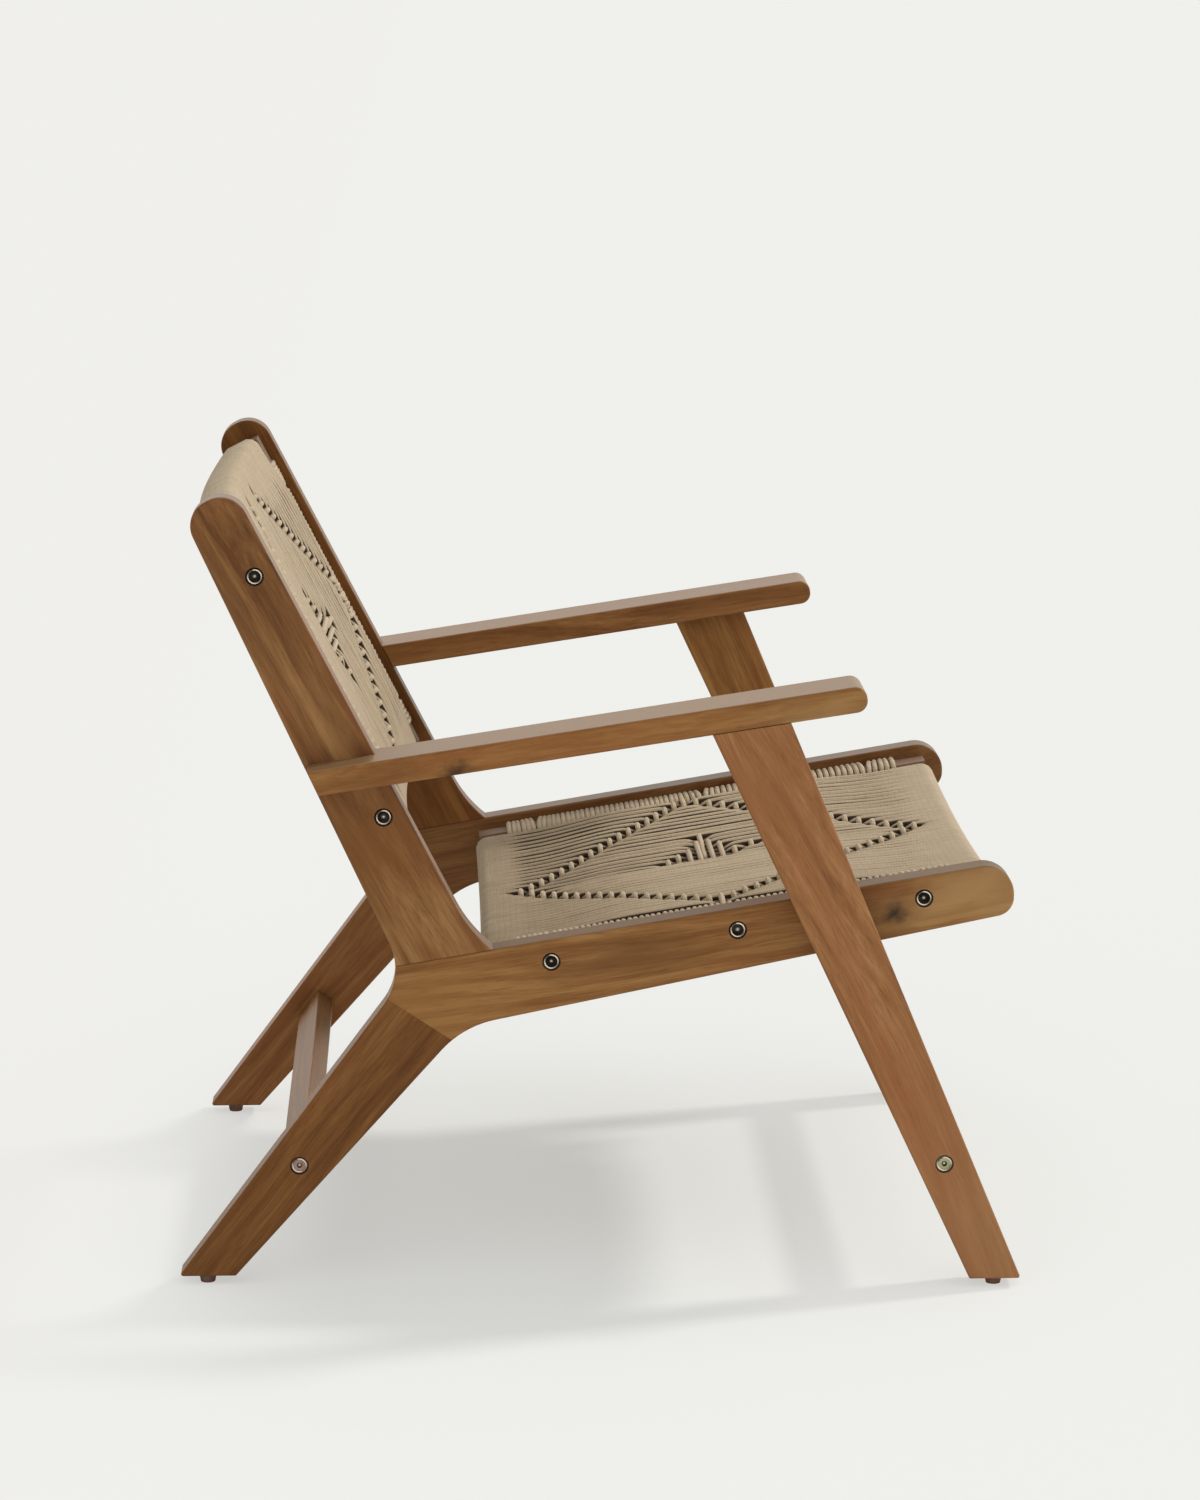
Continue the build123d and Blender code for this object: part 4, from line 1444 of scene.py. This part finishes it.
@dataclass
class Studio:
    """Plain pale studio: floor, soft light and a camera at the photograph's viewing angle.

    Attributes:
        backdrop: Colour of the floor and of the world behind it.
        fill: Lowest and highest brightness of the room.
        fill_from: Where the room is brightest.
        gloss: Lowest and highest brightness of what shiny pieces mirror.
        gloss_from: Where that is brightest.
        rise: Where between its two sides the room's brightness rises, from -1 to 1.
        sun: Strength of the main light, which is sun_angle degrees wide.
        eye: The camera's place in metres.
        pitch: How far it looks down, in degrees.
        yaw: How far it looks towards the chair's front, in degrees.
        lens: Its focal length in millimetres on a 36 mm long side.
        sight: How far it sees in metres.
    """

    backdrop: Colour = (0.871, 0.863, 0.831)
    floor_size: float = 80.0
    fill: tuple[float, float] = (0.42, 1.0)
    fill_colour: Colour = (0.985, 1.0, 1.01)
    fill_from: Triple = (-0.75, -0.65, 0.2)
    gloss: tuple[float, float] = (0.12, 1.7)
    gloss_colour: Colour = (0.86, 0.85, 0.8)
    gloss_from: Triple = (1.0, 0.0, 0.3)
    rise: tuple[float, float] = (-0.6, 0.9)
    sun: float = 1.5
    sun_colour: Colour = (1.0, 0.985, 0.96)
    sun_from: Triple = (0.4, -0.95, 1.0)
    sun_angle: float = 7.0
    eye: Triple = (-4.0224, 0.1389, 1.22525)
    pitch: float = 11.2
    yaw: float = 2.14
    lens: float = 104.12
    sight: float = 200.0

    def floor(self) -> None:
        """Lay the floor."""
        sheet = bmesh.new()
        bmesh.ops.create_grid(sheet, x_segments=2, y_segments=2, size=self.floor_size)
        mesh = bpy.data.meshes.new("studio_floor")
        sheet.to_mesh(mesh)
        sheet.free()
        mesh.materials.append(PaleFloor("pale_floor", self.backdrop).material())
        floor = put("studio_floor", mesh)

    def glow(self, shader: Shader, colour: Colour, direction: Triple, low: float, high: float) -> Socket:
        """Return a background that grows brighter towards one side of the room.

        Args:
            shader: The world's nodes.
            colour: Its colour.
            direction: Where it is brightest.
            low: The brightness on the other side.
            high: The brightness there.

        Returns:
            The background.
        """
        outward = shader.add("ShaderNodeTexCoord").outputs["Generated"]
        side = shader.vector("DOT_PRODUCT", outward, Vector(direction).normalized())
        strength = shader.remap(side, *self.rise, low, high)
        return shader.add("ShaderNodeBackground", {"Color": rgba(colour), "Strength": strength}).outputs[0]

    def world(self) -> None:
        """Light the studio evenly, with the backdrop's colour behind."""
        shader = Shader(bpy.data.worlds.new("studio_world"))
        bpy.context.scene.world = shader.owner
        shown = self.glow(shader, self.fill_colour, self.fill_from, *self.fill)
        glossy = self.glow(shader, self.gloss_colour, self.gloss_from, *self.gloss)
        behind = shader.add("ShaderNodeBackground", {"Color": rgba(self.backdrop)}).outputs[0]
        path = shader.add("ShaderNodeLightPath").outputs
        kinds = {"Is Glossy Ray": glossy, "Is Transmission Ray": behind, "Is Camera Ray": behind}
        for kind, seen in kinds.items():
            shown = shader.add("ShaderNodeMixShader", {0: path[kind], 1: shown, 2: seen}).outputs[0]
        shader.feed(shader.tree.nodes["World Output"].inputs["Surface"], shown)

    def aim(self, thing: bpy.types.Object, gaze: Vector) -> None:
        """Turn a lamp or a camera so that it looks in a direction."""
        thing.rotation_mode = "QUATERNION"
        thing.rotation_quaternion = gaze.to_track_quat("-Z", "Y")

    def lamp(self) -> None:
        """Hang the main light."""
        sun = bpy.data.lights.new("studio_sun", "SUN")
        sun.energy = self.sun
        sun.angle = math.radians(self.sun_angle)
        sun.color = self.sun_colour
        self.aim(put("studio_sun", sun), -Vector(self.sun_from))

    def camera(self) -> None:
        """Set up the camera."""
        lens = bpy.data.cameras.new("studio_camera")
        lens.lens = self.lens
        lens.clip_end = self.sight
        camera = put("studio_camera", lens)
        pitch = math.radians(self.pitch)
        yaw = math.radians(self.yaw)
        level = math.cos(pitch)
        gaze = Vector((math.cos(yaw) * level, -math.sin(yaw) * level, -math.sin(pitch)))
        camera.location = self.eye
        self.aim(camera, gaze)
        bpy.context.scene.camera = camera

    def build(self) -> None:
        """Set up the whole studio."""
        bpy.context.scene.view_settings.view_transform = "Standard"
        self.floor()
        self.world()
        self.lamp()
        self.camera()


def seat_panel() -> WovenPanel:
    """Set out the woven seat.

    Returns:
        The panel.
    """
    return WovenPanel(
        name="seat",
        origin=Vector((0.0, -124.16, 322.75)),
        tilt=-Grain.SEAT.value,
        length=453.95,
        bolts=(-165.97, 1.5, 168.97),
        centre=8.5,
        high_pitch=5.36,
        low_pitch=5.8,
        high_wefts=35,
        low_wefts=35,
        nodes=["seat_weave", "seat_return_cords", "seat_front_turns", "seat_rear_turns"],
        wraps=["right_seat_cord_wraps", "left_seat_cord_wraps"],
        seed=11,
        gap=0.31,
        crown=0.6,
        groove=4.2,
        low_shade=0.25,
        high_shade=1.1,
        furrow=0.1,
        skew=0.026,
    )


def back_panel() -> WovenPanel:
    """Set out the woven back.

    Returns:
        The panel.
    """
    return WovenPanel(
        name="back",
        origin=Vector((0.0, 247.65, 539.98)),
        tilt=180.0 - Grain.BACK.value,
        length=343.89,
        bolts=(-126.94, 113.94),
        centre=-1.4,
        high_pitch=4.75,
        low_pitch=5.45,
        high_wefts=30,
        low_wefts=27,
        nodes=["back_weave", "back_return_cords", "back_bottom_turns", "back_top_turns"],
        wraps=["right_back_cord_wraps", "left_back_cord_wraps"],
        seed=23,
        gap=0.12,
        crown=0.3,
        groove=2.4,
        low_shade=0.4,
        shade=0.24,
        hole=1.4,
        heart_shift=1,
        blunt=1,
        middle_level=-1.4,
        middle_rise=13.0,
        middle_power=1.5,
        lift_start=12.0,
        lift_reach=45.0,
        wrap_rise=0.6,
        float_rise=1.6,
        dip_reach=8.6,
        pinch=0.6,
    )


def panel_bolts(panel: WovenPanel, node: str) -> ConnectorBolts:
    """Return the bolts that hold a panel between the boards."""
    spots = [panel.matrix @ Vector((0.0, bolt, 0.0)) / MM for bolt in panel.bolts]
    return ConnectorBolts(node, [(spot.y, spot.z) for spot in spots], top=291.0, tip=246.4)


def main() -> None:
    """Build and dress the chair, then set it in the studio."""
    logging.basicConfig(level=logging.INFO, format="%(name)s %(message)s")
    WoodenFrame().dress()
    cord = TwistedCord("woven_cord_beige", (0.6, 0.476, 0.322), (0.33, 0.243, 0.145)).material()
    seat = seat_panel()
    back = back_panel()
    seat.build(cord)
    back.build(cord)
    # The bolts' colours are painted light: near-black, pink and gold faces as painted reflections, a pale
    # rim as a painted highlight and a dark socket as painted shade.
    rim, dark, socket, pink_face, gold_face = (
        metal.material()
        for metal in (
            PlatedMetal("bronze_rim_painted_highlight", (0.95, 0.83, 0.72), (1.0, 0.93, 0.84), 0.2, metallic=0.15, blind=0.9),
            PlatedMetal("bronze_face_painted_dark", (0.012, 0.009, 0.006), (0.035, 0.026, 0.017), 0.25),
            PlatedMetal("bronze_socket_painted_shade", (0.04, 0.028, 0.02), (0.16, 0.12, 0.09), 0.25),
            PlatedMetal("pink_painted_reflection", (0.3, 0.19, 0.15), (0.46, 0.31, 0.26), 0.3),
            PlatedMetal("gold_painted_reflection", (0.36, 0.34, 0.19), (0.56, 0.53, 0.33), 0.3),
        )
    )
    for bolts, face in (
        (panel_bolts(seat, "seat_bolts"), dark),
        (panel_bolts(back, "back_bolts"), dark),
        (ConnectorBolts("rear_stretcher_bolts", [(267.71, 110.0)], top=291.0, tip=252.0), pink_face),
        (ConnectorBolts("front_stretcher_bolts", [(-305.78, 115.0)], top=324.0, tip=279.0), gold_face),
    ):
        bolts.build([face, rim, socket])
    Studio().build()


if __name__ == "__main__":
    main()
